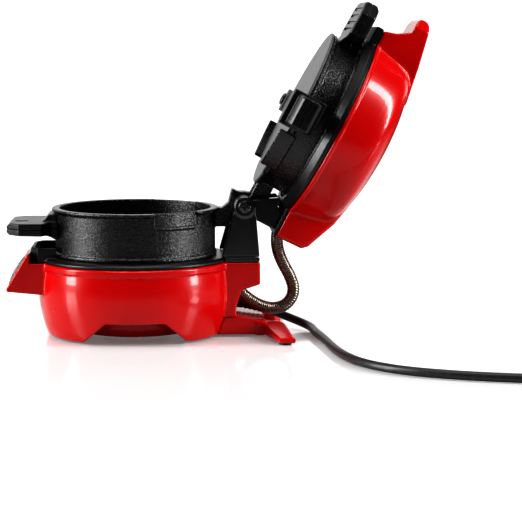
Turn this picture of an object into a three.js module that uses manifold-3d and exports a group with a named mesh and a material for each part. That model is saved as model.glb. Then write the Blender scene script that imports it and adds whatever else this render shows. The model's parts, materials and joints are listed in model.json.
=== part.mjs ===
// Electric breakfast-sandwich maker, standing open.
// Millimetres, +Z up, +X towards the hinge, -X towards the handles.
// Everything is first laid out with the ring axis on x = y = 0 and the floor at z = 0. The lid,
// the upper ring and the cooking plate are laid out closed and then turned about the hinge pin.

import * as THREE from "three";
import { mergeVertices } from "three/addons/utils/BufferGeometryUtils.js";
import Module from "manifold-3d";

const wasm = await Module();
wasm.setup();

// ---------- driving dimensions ----------

const GAP = 0.3;                 // between pieces that touch
const ROUND = 48;                // facets round the large circles
const SMALL_ROUND = 16;          // facets round pins and screws

const HINGE = { x: 72.2, z: 86.5 };
const OPEN_DEGREES = 118;

const BASE = {
  floorZ: 1.5,
  topZ: 50,
  footRadius: 58.8,
  bellyRadius: 65,
  bellyZ: 27,
  neckRadius: 64,
  rimRadius: 64.6,
  rimZ: 45.2,
  wall: 2.6,
  coreRadius: 41.5,
};
const NOTCH = { low: 70, high: 38, height: 15 };
const POD = { halfWidth: 26, tipX: -84.5, tipZ: 33.8, topX: -70.5, topZ: 56.5, bottomZ: 29 };
const REAR_BOX = {
  halfWidth: 26,
  backX: 82.4,
  edgeZ: 35.2,
  columnX: 70.1,
  lowZ: 31.3,
  waistX: 66.6,
  waistZ: 20.5,
  footZ: 13.6,
};
const STEM_HALF_WIDTH = 24;
const STEM_END_X = 86;
const LEG_REACH = 60;

const RING = {
  rim: 55.4,
  wall: 53.4,
  bore: 50.4,
  lowZ: 53.5,
  topZ: 85,
  upperLowZ: 87.4,
  upperTopZ: 108.9,
};
const CLAW = { from: 42, to: 74, cut: 52.6, inner: 53, outer: 55.8, lowZ: 80.5, seatZ: 76 };
const GRIP = { halfWidth: 27.7, tipX: -84.5, chamfer: 9, lowZ: 68, topZ: 76.5 };
const UPPER_GRIP = { lowZ: 93.3, topZ: 104.5 };
const FAIRING_HALF_WIDTH = 14;
const NECK_HALF_WIDTH = 17;

const PLATE = { radius: 55.8, lowZ: 85.3, topZ: 87.1, pivotX: -2, pivotY: 66, lug: 8.3 };
const PIN_RADIUS = 3;
const HOLE_RADIUS = 3.4;

const LID = { rimZ: 113.6, radius: 65, halfWidth: 25, beakHalfWidth: 23 };
const CORD_DIAMETER = 5.6;
const CONDUIT_DIAMETER = 8.5;

// ---------- materials ----------

const finish = (color, roughness, metalness = 0) =>
  new THREE.MeshStandardMaterial({ color, roughness, metalness });

const redPlastic = finish(0xd2060c, 0.18);
const hammeredBlack = finish(0x17171a, 0.45, 0.3);
const gripBlack = finish(0x141416, 0.55);
const glossBlack = finish(0x0c0c0e, 0.25);
const castBlack = finish(0x1b1b1e, 0.5, 0.2);
const panelGrey = finish(0x3a3a3e, 0.35);
const steel = finish(0xb8b8bc, 0.3, 1);
const bronzeSteel = finish(0x6b5a44, 0.35, 0.9);
const rubber = finish(0x111111, 0.8);
const cordBlack = finish(0x0d0d0d, 0.5);
const redLens = finish(0xd8141a, 0.1);
const greenLens = finish(0x1f7a34, 0.1);
const ceramic = finish(0xe4ddcc, 0.7);
const aluminium = finish(0x9c9ca0, 0.35, 0.9);
const brass = finish(0xb08d4a, 0.3, 1);

// ---------- geometry helpers ----------

// A closed geometry as a manifold solid, with its faces turned outwards.
function solid(geometry) {
  const bare = geometry.clone();
  bare.deleteAttribute("normal");
  bare.deleteAttribute("uv");
  const merged = mergeVertices(bare, 1e-4);
  const corners = Float32Array.from(merged.attributes.position.array);
  const faces = [];
  const index = merged.index.array;
  for (let i = 0; i < index.length; i += 3) {
    const [a, b, c] = [index[i], index[i + 1], index[i + 2]];
    if (a !== b && b !== c && c !== a) faces.push(a, b, c);
  }
  if (signedVolume(corners, faces) < 0) {
    for (let i = 0; i < faces.length; i += 3) {
      [faces[i], faces[i + 1]] = [faces[i + 1], faces[i]];
    }
  }
  const mesh = new wasm.Mesh({
    numProp: 3,
    vertProperties: corners,
    triVerts: Uint32Array.from(faces),
  });
  return new wasm.Manifold(mesh);
}

function signedVolume(corners, faces) {
  let sum = 0;
  const [a, b, c] = [new THREE.Vector3(), new THREE.Vector3(), new THREE.Vector3()];
  for (let i = 0; i < faces.length; i += 3) {
    a.fromArray(corners, faces[i] * 3);
    b.fromArray(corners, faces[i + 1] * 3);
    c.fromArray(corners, faces[i + 2] * 3);
    sum += a.dot(b.cross(c));
  }
  return sum;
}

function geometryOf(manifold) {
  const mesh = manifold.getMesh();
  const geometry = new THREE.BufferGeometry();
  const corners = Float32Array.from(mesh.vertProperties);
  geometry.setAttribute("position", new THREE.BufferAttribute(corners, mesh.numProp));
  geometry.setIndex(new THREE.BufferAttribute(Uint32Array.from(mesh.triVerts), 1));
  geometry.computeVertexNormals();
  return geometry;
}

// A solid of revolution about +Z from [radius, z] pairs that start and end on the axis.
function turned(profile, facets = ROUND) {
  const points = profile.map(([r, z]) => new THREE.Vector2(r, z));
  return solid(new THREE.LatheGeometry(points, facets).rotateX(Math.PI / 2));
}

// A ring of revolution about +Z from a closed loop of [radius, z] pairs.
function turnedRing(profile, facets = ROUND) {
  return turned([...profile, profile[0]], facets);
}

function outline(pairs) {
  return new THREE.Shape(pairs.map(([x, y]) => new THREE.Vector2(x, y)));
}

// A shape drawn in x and z, made solid from one y to another.
function acrossY(shape, fromY, toY, facets = 12) {
  const depth = toY - fromY;
  const geometry = new THREE.ExtrudeGeometry(shape, {
    depth,
    bevelEnabled: false,
    curveSegments: facets,
  });
  return solid(geometry.rotateX(Math.PI / 2).translate(0, toY, 0));
}

// A shape drawn in x and y, made solid from one z to another.
function upZ(shape, fromZ, toZ, facets = 12) {
  const geometry = new THREE.ExtrudeGeometry(shape, {
    depth: toZ - fromZ,
    bevelEnabled: false,
    curveSegments: facets,
  });
  return solid(geometry.translate(0, 0, fromZ));
}

// A shape drawn in y and z, made solid from one x to another.
function alongX(shape, fromX, toX) {
  const geometry = new THREE.ExtrudeGeometry(shape, {
    depth: toX - fromX,
    bevelEnabled: false,
  });
  geometry.rotateX(Math.PI / 2).rotateZ(Math.PI / 2);
  return solid(geometry.translate(fromX, 0, 0));
}

function block(fromX, toX, fromY, toY, fromZ, toZ) {
  const geometry = new THREE.BoxGeometry(toX - fromX, toY - fromY, toZ - fromZ);
  geometry.translate((fromX + toX) / 2, (fromY + toY) / 2, (fromZ + toZ) / 2);
  return solid(geometry);
}

// A cylinder between two points.
function rod(from, to, radius, facets = SMALL_ROUND, endRadius = radius) {
  const [start, end] = [new THREE.Vector3(...from), new THREE.Vector3(...to)];
  const axis = end.clone().sub(start);
  const geometry = new THREE.CylinderGeometry(endRadius, radius, axis.length(), facets);
  const turn = new THREE.Quaternion().setFromUnitVectors(
    new THREE.Vector3(0, 1, 0), axis.clone().normalize());
  geometry.applyQuaternion(turn);
  geometry.translate(...start.add(end).multiplyScalar(0.5).toArray());
  return solid(geometry);
}

function pieceOfRing(inner, outer, fromDegrees, toDegrees, fromZ, toZ) {
  const shape = new THREE.Shape();
  const [from, to] = [fromDegrees, toDegrees].map(THREE.MathUtils.degToRad);
  shape.absarc(0, 0, outer, from, to, false);
  shape.absarc(0, 0, inner, to, from, true);
  return upZ(shape, fromZ, toZ, 10);
}

// A tube of even thickness that follows a smooth line through the given points.
function tube(points, diameter, sides, steps) {
  const line = new THREE.CatmullRomCurve3(points.map((p) => new THREE.Vector3(...p)));
  line.curveType = "centripetal";
  const section = new THREE.Shape();
  section.absarc(0, 0, diameter / 2, 0, Math.PI * 2, false);
  const geometry = new THREE.ExtrudeGeometry(section, {
    extrudePath: line,
    steps,
    curveSegments: sides / 2,
    bevelEnabled: false,
  });
  return solid(geometry);
}

// ---------- the scene graph ----------

const device = new THREE.Group();
const swinging = new THREE.Group();
swinging.position.set(HINGE.x, 0, HINGE.z);
swinging.rotation.y = THREE.MathUtils.degToRad(OPEN_DEGREES);
const closedLayout = new THREE.Group();
closedLayout.position.set(-HINGE.x, 0, -HINGE.z);
swinging.add(closedLayout);
device.add(swinging);

const cordGroup = new THREE.Group();

function add(group, name, manifold, material) {
  const mesh = new THREE.Mesh(geometryOf(manifold), material);
  mesh.name = name;
  group.add(mesh);
}

// ---------- base ----------

function notches(wider) {
  const low = (NOTCH.low + wider) / 2;
  const high = (NOTCH.high + wider) / 2;
  const top = NOTCH.height + wider / 2;
  const shape = outline([[-low - 6, -8], [low + 6, -8], [low, 0], [high, top], [-high, top], [-low, 0]]);
  return acrossY(shape, -80, 80);
}

function baseShell() {
  const { floorZ, topZ, footRadius, bellyRadius, bellyZ, neckRadius, rimRadius, rimZ, wall } = BASE;
  const body = turned([
    [0, floorZ], [footRadius, floorZ], [60.6, 6], [62.6, 13], [bellyRadius - 0.5, bellyZ - 6],
    [bellyRadius, bellyZ + 2], [bellyRadius - 0.2, bellyZ + 9], [neckRadius, rimZ],
    [rimRadius, rimZ + 0.6], [rimRadius, topZ - 1], [rimRadius - 0.9, topZ], [0, topZ],
  ]);
  const pod = acrossY(outline([
    [POD.tipX, POD.tipZ - 2.2], [-58, POD.bottomZ], [-58, topZ], [POD.topX + 1.6, topZ],
    [POD.topX + 1.6, POD.topZ], [POD.topX, POD.topZ], [POD.tipX, POD.tipZ],
  ]), -POD.halfWidth, POD.halfWidth);
  const rear = acrossY(outline([
    [52, REAR_BOX.footZ], [REAR_BOX.waistX, REAR_BOX.footZ], [REAR_BOX.waistX, REAR_BOX.waistZ],
    [REAR_BOX.columnX, REAR_BOX.lowZ], [REAR_BOX.backX, REAR_BOX.edgeZ], [REAR_BOX.backX, topZ],
    [52, topZ],
  ]), -REAR_BOX.halfWidth, REAR_BOX.halfWidth);

  const floorTop = NOTCH.height + wall;
  const core = turned([
    [0, -1], [BASE.coreRadius, -1], [BASE.coreRadius, floorTop], [60, floorTop],
    [bellyRadius - wall, bellyZ], [bellyRadius - wall, bellyZ + 8], [neckRadius - wall, rimZ],
    [neckRadius - wall, topZ + 1], [0, topZ + 1],
  ]);
  const footHollow = turnedRing([
    [BASE.coreRadius + wall, floorZ + wall], [57.2, floorZ + wall], [60.2, floorTop + 1],
    [BASE.coreRadius + wall, floorTop + 1],
  ]).subtract(notches(2 * wall));
  const podHollow = acrossY(outline([
    [POD.tipX + wall, POD.tipZ + 0.4], [-55, POD.bottomZ + wall], [-55, topZ - wall],
    [POD.topX - 1, topZ - wall],
  ]), wall - POD.halfWidth, POD.halfWidth - wall);
  const rearHollow = acrossY(outline([
    [55, floorTop], [REAR_BOX.waistX - wall, floorTop], [REAR_BOX.waistX - wall, REAR_BOX.waistZ],
    [REAR_BOX.columnX - wall, REAR_BOX.lowZ + wall],
    [REAR_BOX.backX - wall, REAR_BOX.edgeZ + wall], [REAR_BOX.backX - wall, topZ + 1], [55, topZ + 1],
  ]), wall - REAR_BOX.halfWidth, REAR_BOX.halfWidth - wall);

  return body.add(pod).add(rear)
    .subtract(core).subtract(notches(0)).subtract(footHollow)
    .subtract(podHollow).subtract(rearHollow)
    .subtract(panelBlank(GAP, 4)).subtract(baseConduitHole(5.5))
    .subtract(rod([60, CORD_EXIT.y, CORD_EXIT.z], [90, CORD_EXIT.y, CORD_EXIT.z], 5.3));
}

// The sloping panel, grown by a margin and made as deep as asked.
function panelBlank(margin, depth) {
  const run = POD.topX - POD.tipX;
  const rise = POD.topZ - POD.tipZ;
  const slope = Math.atan2(rise, run);
  const long = Math.hypot(run, rise);
  const shape = outline([
    [3 - margin, -depth], [long - 3 + margin, -depth], [long - 3 + margin, margin ? 5 : 0.4],
    [3 - margin, margin ? 5 : 0.4],
  ]);
  const halfWidth = POD.halfWidth - 3 + margin;
  return acrossY(shape, -halfWidth, halfWidth)
    .rotate([0, -THREE.MathUtils.radToDeg(slope), 0])
    .translate([POD.tipX, 0, POD.tipZ]);
}

// A place on the sloping panel, a share of the way up it and a height off it.
function onPanel(share, height, y) {
  const run = POD.topX - POD.tipX;
  const rise = POD.topZ - POD.tipZ;
  const long = Math.hypot(run, rise);
  return [
    POD.tipX + run * share - (rise / long) * height,
    y,
    POD.tipZ + rise * share + (run / long) * height,
  ];
}

const CONDUIT_Y = -8;
const CONDUIT_START = [64.9, CONDUIT_Y, 33.4];
const CONDUIT_ROUTE = [
  CONDUIT_START,
  [71.5, CONDUIT_Y, 26.6],
  [78, CONDUIT_Y, 21.6],
  [85.1, CONDUIT_Y, 18.1],
  [92.1, CONDUIT_Y, 16.9],
  [99.2, CONDUIT_Y, 18.6],
  [104.2, CONDUIT_Y, 23.8],
  [105.5, CONDUIT_Y, 30.4],
  [103, CONDUIT_Y, 38.6],
  [98.6, CONDUIT_Y, 47],
  [95.6, CONDUIT_Y, 54.5],
  [94.4, CONDUIT_Y, 61.6],
  [94.8, CONDUIT_Y, 67.4],
  [96.2, CONDUIT_Y, 72],
];
const CORD_EXIT = { x: 68.4, y: 11, z: 19.5 };

function baseConduitHole(radius) {
  const [start, next] = CONDUIT_ROUTE;
  const end = start.map((v, i) => v + 2 * (next[i] - v));
  return rod(start, end, radius);
}

// In the closed layout, so the open-pose route is turned back about the hinge.
function lidConduitHole() {
  return tube(CONDUIT_ROUTE.slice(-5).map(closedPlace), CONDUIT_DIAMETER + 1.6, 10, 10);
}

function closedPlace([x, y, z]) {
  const turn = THREE.MathUtils.degToRad(-OPEN_DEGREES);
  const point = new THREE.Vector3(x - HINGE.x, y, z - HINGE.z);
  point.applyAxisAngle(new THREE.Vector3(0, 1, 0), turn);
  return [point.x + HINGE.x, point.y, point.z + HINGE.z];
}

function bottomCover() {
  const outside = BASE.coreRadius - GAP;
  return turned([
    [0, 3], [38.6, 3], [outside, 7.5], [outside, 13.2], [outside - 2, 13.2],
    [outside - 2, 8], [37.6, 5], [0, 5],
  ]);
}

// A broad stem that carries the column, and two legs that slant out and back from it.
function rearFoot() {
  const { floorZ, footRadius } = BASE;
  const stem = acrossY(outline([
    [46, floorZ], [STEM_END_X, floorZ], [STEM_END_X, 10.2], [REAR_BOX.waistX, 13.3], [46, 13.3],
  ]), -STEM_HALF_WIDTH, STEM_HALF_WIDTH);
  const nearLeg = outline([
    [80, -16], [80, -STEM_HALF_WIDTH], [84, -STEM_HALF_WIDTH], [93, -LEG_REACH],
    [103.5, -LEG_REACH], [99, -STEM_HALF_WIDTH], [95, -16],
  ]);
  const leg = upZ(nearLeg, 0, 20);
  const side = alongX(outline([
    [-LEG_REACH, floorZ], [LEG_REACH, floorZ], [LEG_REACH, 4.8], [20, 9.8], [-20, 9.8],
    [-LEG_REACH, 4.8],
  ]), 70, 110);
  const legs = leg.add(leg.mirror([0, 1, 0])).intersect(side);
  const belly = turned([
    [0, 0], [footRadius + 0.4, 0], [footRadius + 0.4, floorZ], [61, 6], [63, 13], [63.6, 16],
    [0, 16],
  ]);
  return stem.add(legs).subtract(belly);
}

function lowerBezel() {
  const ring = turnedRing([
    [47, 50.3], [63.8, 50.3], [63.8, 51.8], [62.2, 53.2], [47, 53.2],
  ]);
  const tray = upZ(outline([
    [-50, -24], [-64, -24], [-68.6, -16], [-68.6, 16], [-64, 24], [-50, 24],
  ]), 50.3, 60)
    .subtract(upZ(outline([
      [-40, -21.6], [-62.8, -21.6], [-66.4, -15.2], [-66.4, 15.2], [-62.8, 21.6], [-40, 21.6],
    ]), 53.2, 70))
    .subtract(turned([[0, 53.2], [56.4, 53.2], [56.4, 80], [0, 80]]));
  return ring.add(tray);
}

add(device, "base_shell", baseShell(), redPlastic);
add(device, "bottom_cover", bottomCover(), redPlastic);
add(device, "rear_foot", rearFoot(), redPlastic);
add(device, "lower_bezel", lowerBezel(), castBlack);

for (const [index, degrees] of [27, 153, 207, 333].entries()) {
  const angle = THREE.MathUtils.degToRad(degrees);
  const [x, y] = [50 * Math.cos(angle), 50 * Math.sin(angle)];
  add(device, `foot_pad_${index + 1}`, rod([x, y, 0], [x, y, BASE.floorZ - 0.2], 4.5, 16), rubber);
}
for (const [side, y] of [["near", -53], ["far", 53]]) {
  add(device, `rear_foot_pad_${side}`, rod([97, y, 0], [97, y, 1.2], 4, 16), rubber);
}

// ---------- heating parts in the base ----------

function heatingElement(radius, z, facing) {
  const turns = Array.from({ length: 13 }, (_, i) => {
    const angle = THREE.MathUtils.degToRad(facing + 30 + i * 25);
    return [radius * Math.cos(angle), radius * Math.sin(angle), z];
  });
  return tube(turns, 6, 8, 26);
}

add(device, "lower_heating_plate", turned([[0, 50.4], [46.7, 50.4], [46.7, 53.1], [0, 53.1]]), castBlack);
add(device, "lower_heating_element", heatingElement(36, 47, 0), steel);
add(device, "lower_reflector", turned([
  [0, 40], [46, 40], [52, 45], [51.2, 45.8], [45.6, 41.2], [0, 41.2],
]), aluminium);
add(device, "thermostat", rod([0, 0, 29], [0, 0, 39.7], 8), ceramic);
add(device, "thermal_fuse", rod([14, -8, 36], [14, 8, 36], 2.6, 12), ceramic);
add(device, "terminal_block", block(28, 42, -9, 9, 18.4, 28.4), ceramic);

// ---------- control panel ----------

add(device, "control_panel", panelBlank(0, 1.4), panelGrey);

function lampLens(y) {
  const from = onPanel(0.44, 0.7, y);
  const middle = onPanel(0.44, 1.4, y);
  const to = onPanel(0.44, 2.2, y);
  return rod(from, middle, 5.4).add(rod(middle, to, 5.4, SMALL_ROUND, 3.6));
}

add(device, "power_lamp_lens", lampLens(-13), redLens);
add(device, "preheat_lamp_lens", lampLens(13), greenLens);

// ---------- hinge ----------

const POST_Y = { inner: 19.5, outer: 24.5 };

function post(fromY, toY) {
  const shape = outline([[56.8, 53.5], [82, 53.5], [79.3, 86.5], [66.1, 86.5]]);
  const top = rod([HINGE.x, fromY, HINGE.z], [HINGE.x, toY, HINGE.z], 6.6, 32);
  const hole = rod([HINGE.x, fromY - 1, HINGE.z], [HINGE.x, toY + 1, HINGE.z], HOLE_RADIUS);
  return acrossY(shape, fromY, toY).add(top).subtract(hole);
}

function screw(y, outward) {
  const head = rod([HINGE.x, y, HINGE.z], [HINGE.x, y + outward * 1.6, HINGE.z], 4.6, SMALL_ROUND, 3.8);
  const far = y + outward * 2;
  const near = y + outward * 0.7;
  const [low, high] = [Math.min(near, far), Math.max(near, far)];
  const slot = block(HINGE.x - 2.4, HINGE.x + 2.4, low, high, HINGE.z - 0.5, HINGE.z + 0.5);
  const cross = block(HINGE.x - 0.5, HINGE.x + 0.5, low, high, HINGE.z - 2.4, HINGE.z + 2.4);
  return head.subtract(slot).subtract(cross);
}

add(device, "hinge_bracket",
  block(50, REAR_BOX.backX - 0.4, -25.7, 25.7, 50.3, 53.2)
    .subtract(turned([[0, 40], [64.1, 40], [64.1, 60], [0, 60]])), glossBlack);
add(device, "hinge_post_near", post(-POST_Y.outer, -POST_Y.inner), glossBlack);
add(device, "hinge_post_far", post(POST_Y.inner, POST_Y.outer), glossBlack);
add(device, "hinge_pin", rod([HINGE.x, -24.2, HINGE.z], [HINGE.x, 24.2, HINGE.z], PIN_RADIUS), steel);
add(device, "hinge_screw_near", screw(-24.8, -1), steel);
add(device, "hinge_screw_far", screw(24.8, 1), steel);

// ---------- rings, plate and their handles ----------

const HOOK_Y = 6;
const ARM_Y = { inner: 6.6, outer: 12 };

function lowerRing() {
  const wall = turnedRing([
    [RING.bore, RING.lowZ], [54.4, RING.lowZ], [54.4, 55.4], [RING.wall, 56.4], [RING.wall, 82],
    [RING.rim, 83.4], [RING.rim, 84.6], [RING.rim - 0.5, RING.topZ], [RING.bore, RING.topZ],
  ]);
  const seat = pieceOfRing(CLAW.cut, 58, -CLAW.to - 2, -CLAW.from + 2, CLAW.seatZ, 90);
  const farSeat = pieceOfRing(CLAW.cut, 58, CLAW.from - 2, CLAW.to + 2, CLAW.seatZ, 90);
  const arm = acrossY(outline([
    [51.5, 71.7], [62, 71.7], [66.5, 78], [66.5, 92], [66.2, 96.6], [64.4, 96.6], [62.2, 88],
    [58, 84.4], [51.5, 84.4],
  ]), -HOOK_Y, HOOK_Y);
  const earOutline = outline([[64.4, 96.6], [66.5, 86], [78, 90], [77.4, 94.6], [70, 95]]);
  const ear = acrossY(earOutline, -HOOK_Y, HOOK_Y);
  const hook = rod([HINGE.x, -HOOK_Y, HINGE.z], [HINGE.x, HOOK_Y, HINGE.z], 8.3, 32);
  const hole = rod([HINGE.x, -9, HINGE.z], [HINGE.x, 9, HINGE.z], HOLE_RADIUS);
  const mouth = block(HINGE.x - HOLE_RADIUS, HINGE.x + HOLE_RADIUS, -9, 9, 70, HINGE.z);
  const bore = turned([[0, 40], [RING.bore, 40], [RING.bore, 110], [0, 110]]);
  return wall.add(arm).add(ear).add(hook).subtract(seat).subtract(farSeat)
    .subtract(hole).subtract(mouth).subtract(bore);
}

// A wide paddle with cut corners, fitted round the ring that it is fixed to.
function paddle(lowZ, topZ, drop, rise) {
  const { halfWidth, tipX, chamfer } = GRIP;
  const side = acrossY(outline([
    [-46, lowZ - drop], [-53, lowZ - drop], [-58, lowZ], [tipX + 2, lowZ + 0.6], [tipX, lowZ + 2.4],
    [tipX, topZ - 2.4], [tipX + 3, topZ], [-46, topZ],
  ]), -halfWidth, halfWidth);
  const fairing = acrossY(outline([
    [-46, topZ - 2], [-61.6, topZ - 2], [-61, topZ], [-57, topZ + rise], [-46, topZ + rise],
  ]), -FAIRING_HALF_WIDTH, FAIRING_HALF_WIDTH);
  const above = upZ(outline([
    [-40, -NECK_HALF_WIDTH], [-55, -NECK_HALF_WIDTH], [-61, -halfWidth], [tipX + chamfer, -halfWidth],
    [tipX, chamfer - halfWidth], [tipX, halfWidth - chamfer], [tipX + chamfer, halfWidth],
    [-61, halfWidth], [-55, NECK_HALF_WIDTH], [-40, NECK_HALF_WIDTH],
  ]), lowZ - 10, topZ + 20);
  const ring = turned([[0, 40], [RING.wall + GAP, 40], [RING.wall + GAP, 130], [0, 130]]);
  return side.intersect(above).add(fairing).subtract(ring);
}

function lowerGrip() {
  const slot = block(-79, -71, -9, -5, GRIP.topZ - 1.6, GRIP.topZ + 2);
  const tipSlot = block(GRIP.tipX - 1, GRIP.tipX + 2, -14, 14, GRIP.lowZ + 3.2, GRIP.lowZ + 5.4);
  return paddle(GRIP.lowZ, GRIP.topZ, 3, 4.8).subtract(slot).subtract(tipSlot);
}

function upperGrip() {
  const tipSlot = block(GRIP.tipX - 1, GRIP.tipX + 2, -14, 14, UPPER_GRIP.lowZ + 4, UPPER_GRIP.lowZ + 6.6);
  let grip = paddle(UPPER_GRIP.lowZ, UPPER_GRIP.topZ, 2, 1.4).subtract(tipSlot);
  for (const x of [-78, -73, -68, -63]) {
    grip = grip.subtract(block(x - 1, x + 1, -22, 22, UPPER_GRIP.lowZ - 3, UPPER_GRIP.lowZ + 1.4));
  }
  return grip;
}

function upperRing() {
  const { upperLowZ, upperTopZ } = RING;
  const wall = turnedRing([
    [RING.bore, upperLowZ], [RING.rim, upperLowZ], [RING.rim, 89.4], [RING.wall, 90.6],
    [RING.wall, 106.4], [54.4, 107.4], [54.4, upperTopZ - 0.5], [53.8, upperTopZ], [RING.bore, upperTopZ],
  ]);
  const claws = pieceOfRing(CLAW.inner, CLAW.outer, -CLAW.to, -CLAW.from, CLAW.lowZ, 92)
    .add(pieceOfRing(CLAW.inner, CLAW.outer, CLAW.from, CLAW.to, CLAW.lowZ, 92));
  let whole = wall.add(claws).add(pivotLug());
  for (const side of [-1, 1]) {
    const [fromY, toY] = side < 0 ? [-ARM_Y.outer, -ARM_Y.inner] : [ARM_Y.inner, ARM_Y.outer];
    const arm = acrossY(outline([[50, upperLowZ], [66, upperLowZ], [72.7, 80.2], [74, 92.6], [64, 98.6],
      [50, 98.6]]), fromY, toY);
    const eye = rod([HINGE.x, fromY, HINGE.z], [HINGE.x, toY, HINGE.z], 6.8, 32);
    const hole = rod([HINGE.x, fromY - 1, HINGE.z], [HINGE.x, toY + 1, HINGE.z], HOLE_RADIUS);
    whole = whole.add(arm.add(eye).subtract(hole));
  }
  const bore = turned([[0, 40], [RING.bore, 40], [RING.bore, 130], [0, 130]]);
  return whole.subtract(bore);
}

// The lug on the far side of the upper ring, hooked down round the plate's pivot.
function pivotLug() {
  const { pivotX, pivotY } = PLATE;
  const shape = outline([[pivotX - 9, 48], [pivotX + 9, 48], [pivotX + 9, pivotY], [pivotX - 9, pivotY]]);
  const beam = upZ(shape, RING.upperLowZ, 98);
  const end = rod([pivotX, pivotY, RING.upperLowZ], [pivotX, pivotY, 98], 11.2, 32);
  const skirt = pieceOfRing(8.9, 11.2, 68, 112, 83.4, 90).translate([pivotX, pivotY, 0]);
  const hole = rod([pivotX, pivotY, 80], [pivotX, pivotY, 100], 2.9);
  return beam.add(end).add(skirt).subtract(hole);
}

function cookingPlate() {
  const { radius, lowZ, topZ, pivotX, pivotY, lug } = PLATE;
  const disc = turned([[0, lowZ], [radius - 0.4, lowZ], [radius, lowZ + 0.5], [radius, topZ], [0, topZ]]);
  const neck = block(pivotX - 7, pivotX + 7, 50, 62, lowZ, topZ);
  const eye = rod([pivotX, pivotY, 83.2], [pivotX, pivotY, topZ], lug, 32);
  const tang = block(-5, 5, -80, -50, lowZ, topZ);
  const clearance = pieceOfRing(CLAW.cut, 60, -CLAW.to - 4, -CLAW.from + 10, 80, 90);
  const farClearance = pieceOfRing(CLAW.cut, 60, CLAW.from - 4, CLAW.to + 3, 80, 90);
  const hole = rod([pivotX, pivotY, 80], [pivotX, pivotY, 100], 2.9);
  return disc.subtract(clearance).subtract(farClearance).add(neck).add(eye).add(tang).subtract(hole);
}

function plateHandle() {
  const guard = block(-12, 12, -61, -56.5, 76.5, 99.5);
  const grip = alongX(outline([
    [-58, 80.8], [-84.4, 80.8], [-86.4, 82.8], [-86.4, 92.4], [-84.4, 94.4], [-58, 94.4],
  ]), -10, 10);
  const tangSlot = block(-5.3, 5.3, -80.3, -50, PLATE.lowZ - GAP, PLATE.topZ + GAP);
  let whole = guard.add(grip).subtract(tangSlot);
  for (const y of [-79, -74, -69, -64.5]) {
    whole = whole.subtract(block(-7, 7, y - 0.9, y + 0.9, 79, 82));
  }
  return whole;
}

add(device, "lower_ring", lowerRing(), hammeredBlack);
add(device, "lower_ring_handle", lowerGrip(), gripBlack);
add(closedLayout, "upper_ring", upperRing(), hammeredBlack);
add(closedLayout, "upper_ring_handle", upperGrip(), gripBlack);
add(closedLayout, "cooking_plate", cookingPlate(), castBlack);
add(closedLayout, "plate_handle", plateHandle(), gripBlack);

const { pivotX, pivotY } = PLATE;
add(closedLayout, "plate_pivot_pin",
  rod([pivotX, pivotY, 80.6], [pivotX, pivotY, 82.8], 4.4)
    .add(rod([pivotX, pivotY, 82], [pivotX, pivotY, 98.3], 2.5)), steel);
add(closedLayout, "plate_pivot_nut", rod([pivotX, pivotY, 98.6], [pivotX, pivotY, 101], 4.6, 6), steel);

// ---------- lid ----------

function lidShell() {
  const dome = turned([
    [0, LID.rimZ], [LID.radius, LID.rimZ], [LID.radius, 116.4], [64, 121.5], [60.8, 135],
    [59, 139.6], [56, 143], [50, 146], [36, 149.6], [18, 151.8], [0, 152.4],
  ]);
  const cavity = turned([
    [0, 112], [62.3, 112], [62.3, 116.4], [61.3, 121.5], [58, 134.4], [56, 138.4], [53.6, 140.8],
    [49, 143.1], [35.5, 146.9], [18, 149.1], [0, 149.7],
  ]);
  const rear = acrossY(outline([
    [40, LID.rimZ], [80, LID.rimZ], [79.3, 132.6], [76, 136], [54.9, 144.4], [40, 147],
  ]), -LID.halfWidth, LID.halfWidth);
  const rearCavity = acrossY(outline([
    [40, 112], [77.4, 112], [76.7, 131.4], [54.5, 141.6], [40, 142],
  ]), 2.6 - LID.halfWidth, LID.halfWidth - 2.6);
  const beak = acrossY(outline([
    [-36, 149], [-62, 144.8], [-88, 139.4], [-91, 137], [-91.2, 132.4], [-89, 130.4],
    [-79.7, 129.9], [-74.5, 121.5], [-72.7, 115.3], [-72.3, LID.rimZ], [-36, LID.rimZ],
  ]), -LID.beakHalfWidth, LID.beakHalfWidth);
  const beakCavity = acrossY(outline([
    [-36, 145.4], [-62, 142], [-84, 137.6], [-84, 133.2], [-77.6, 132.6], [-71.6, 120], [-69.6, 112],
    [-36, 112],
  ]), 2.6 - LID.beakHalfWidth, LID.beakHalfWidth - 2.6);
  return dome.add(rear).add(beak).subtract(cavity).subtract(rearCavity).subtract(beakCavity)
    .subtract(lidConduitHole());
}

function lidBezel() {
  const ring = turnedRing([
    [56.2, 106.5], [61, 106.5], [64.8, 110.5], [64.8, 113.3], [50, 113.3], [50, 112.3], [56.2, 112.3],
  ]);
  const lip = block(-73, -60, -22, 22, 108, 113.3);
  const apron = block(58, 79.6, -24.6, 24.6, 111.2, 113.3);
  const clear = turned([[0, 100], [56.2, 100], [56.2, 112.3], [0, 112.3]]);
  return ring.add(lip).add(apron).subtract(clear).subtract(lidConduitHole());
}

function lidArm(fromY, toY) {
  const shape = outline([
    [76.7, 86.5], [76.7, 110.9], [64.6, 110.9], [62.2, 106.2], [57.4, 106.2], [56.6, 104],
    [65.6, 90],
  ]);
  const eye = rod([HINGE.x, fromY, HINGE.z], [HINGE.x, toY, HINGE.z], 6.8, 32);
  const hole = rod([HINGE.x, fromY - 1, HINGE.z], [HINGE.x, toY + 1, HINGE.z], HOLE_RADIUS);
  return acrossY(shape, fromY, toY).add(eye).subtract(hole);
}

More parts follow.
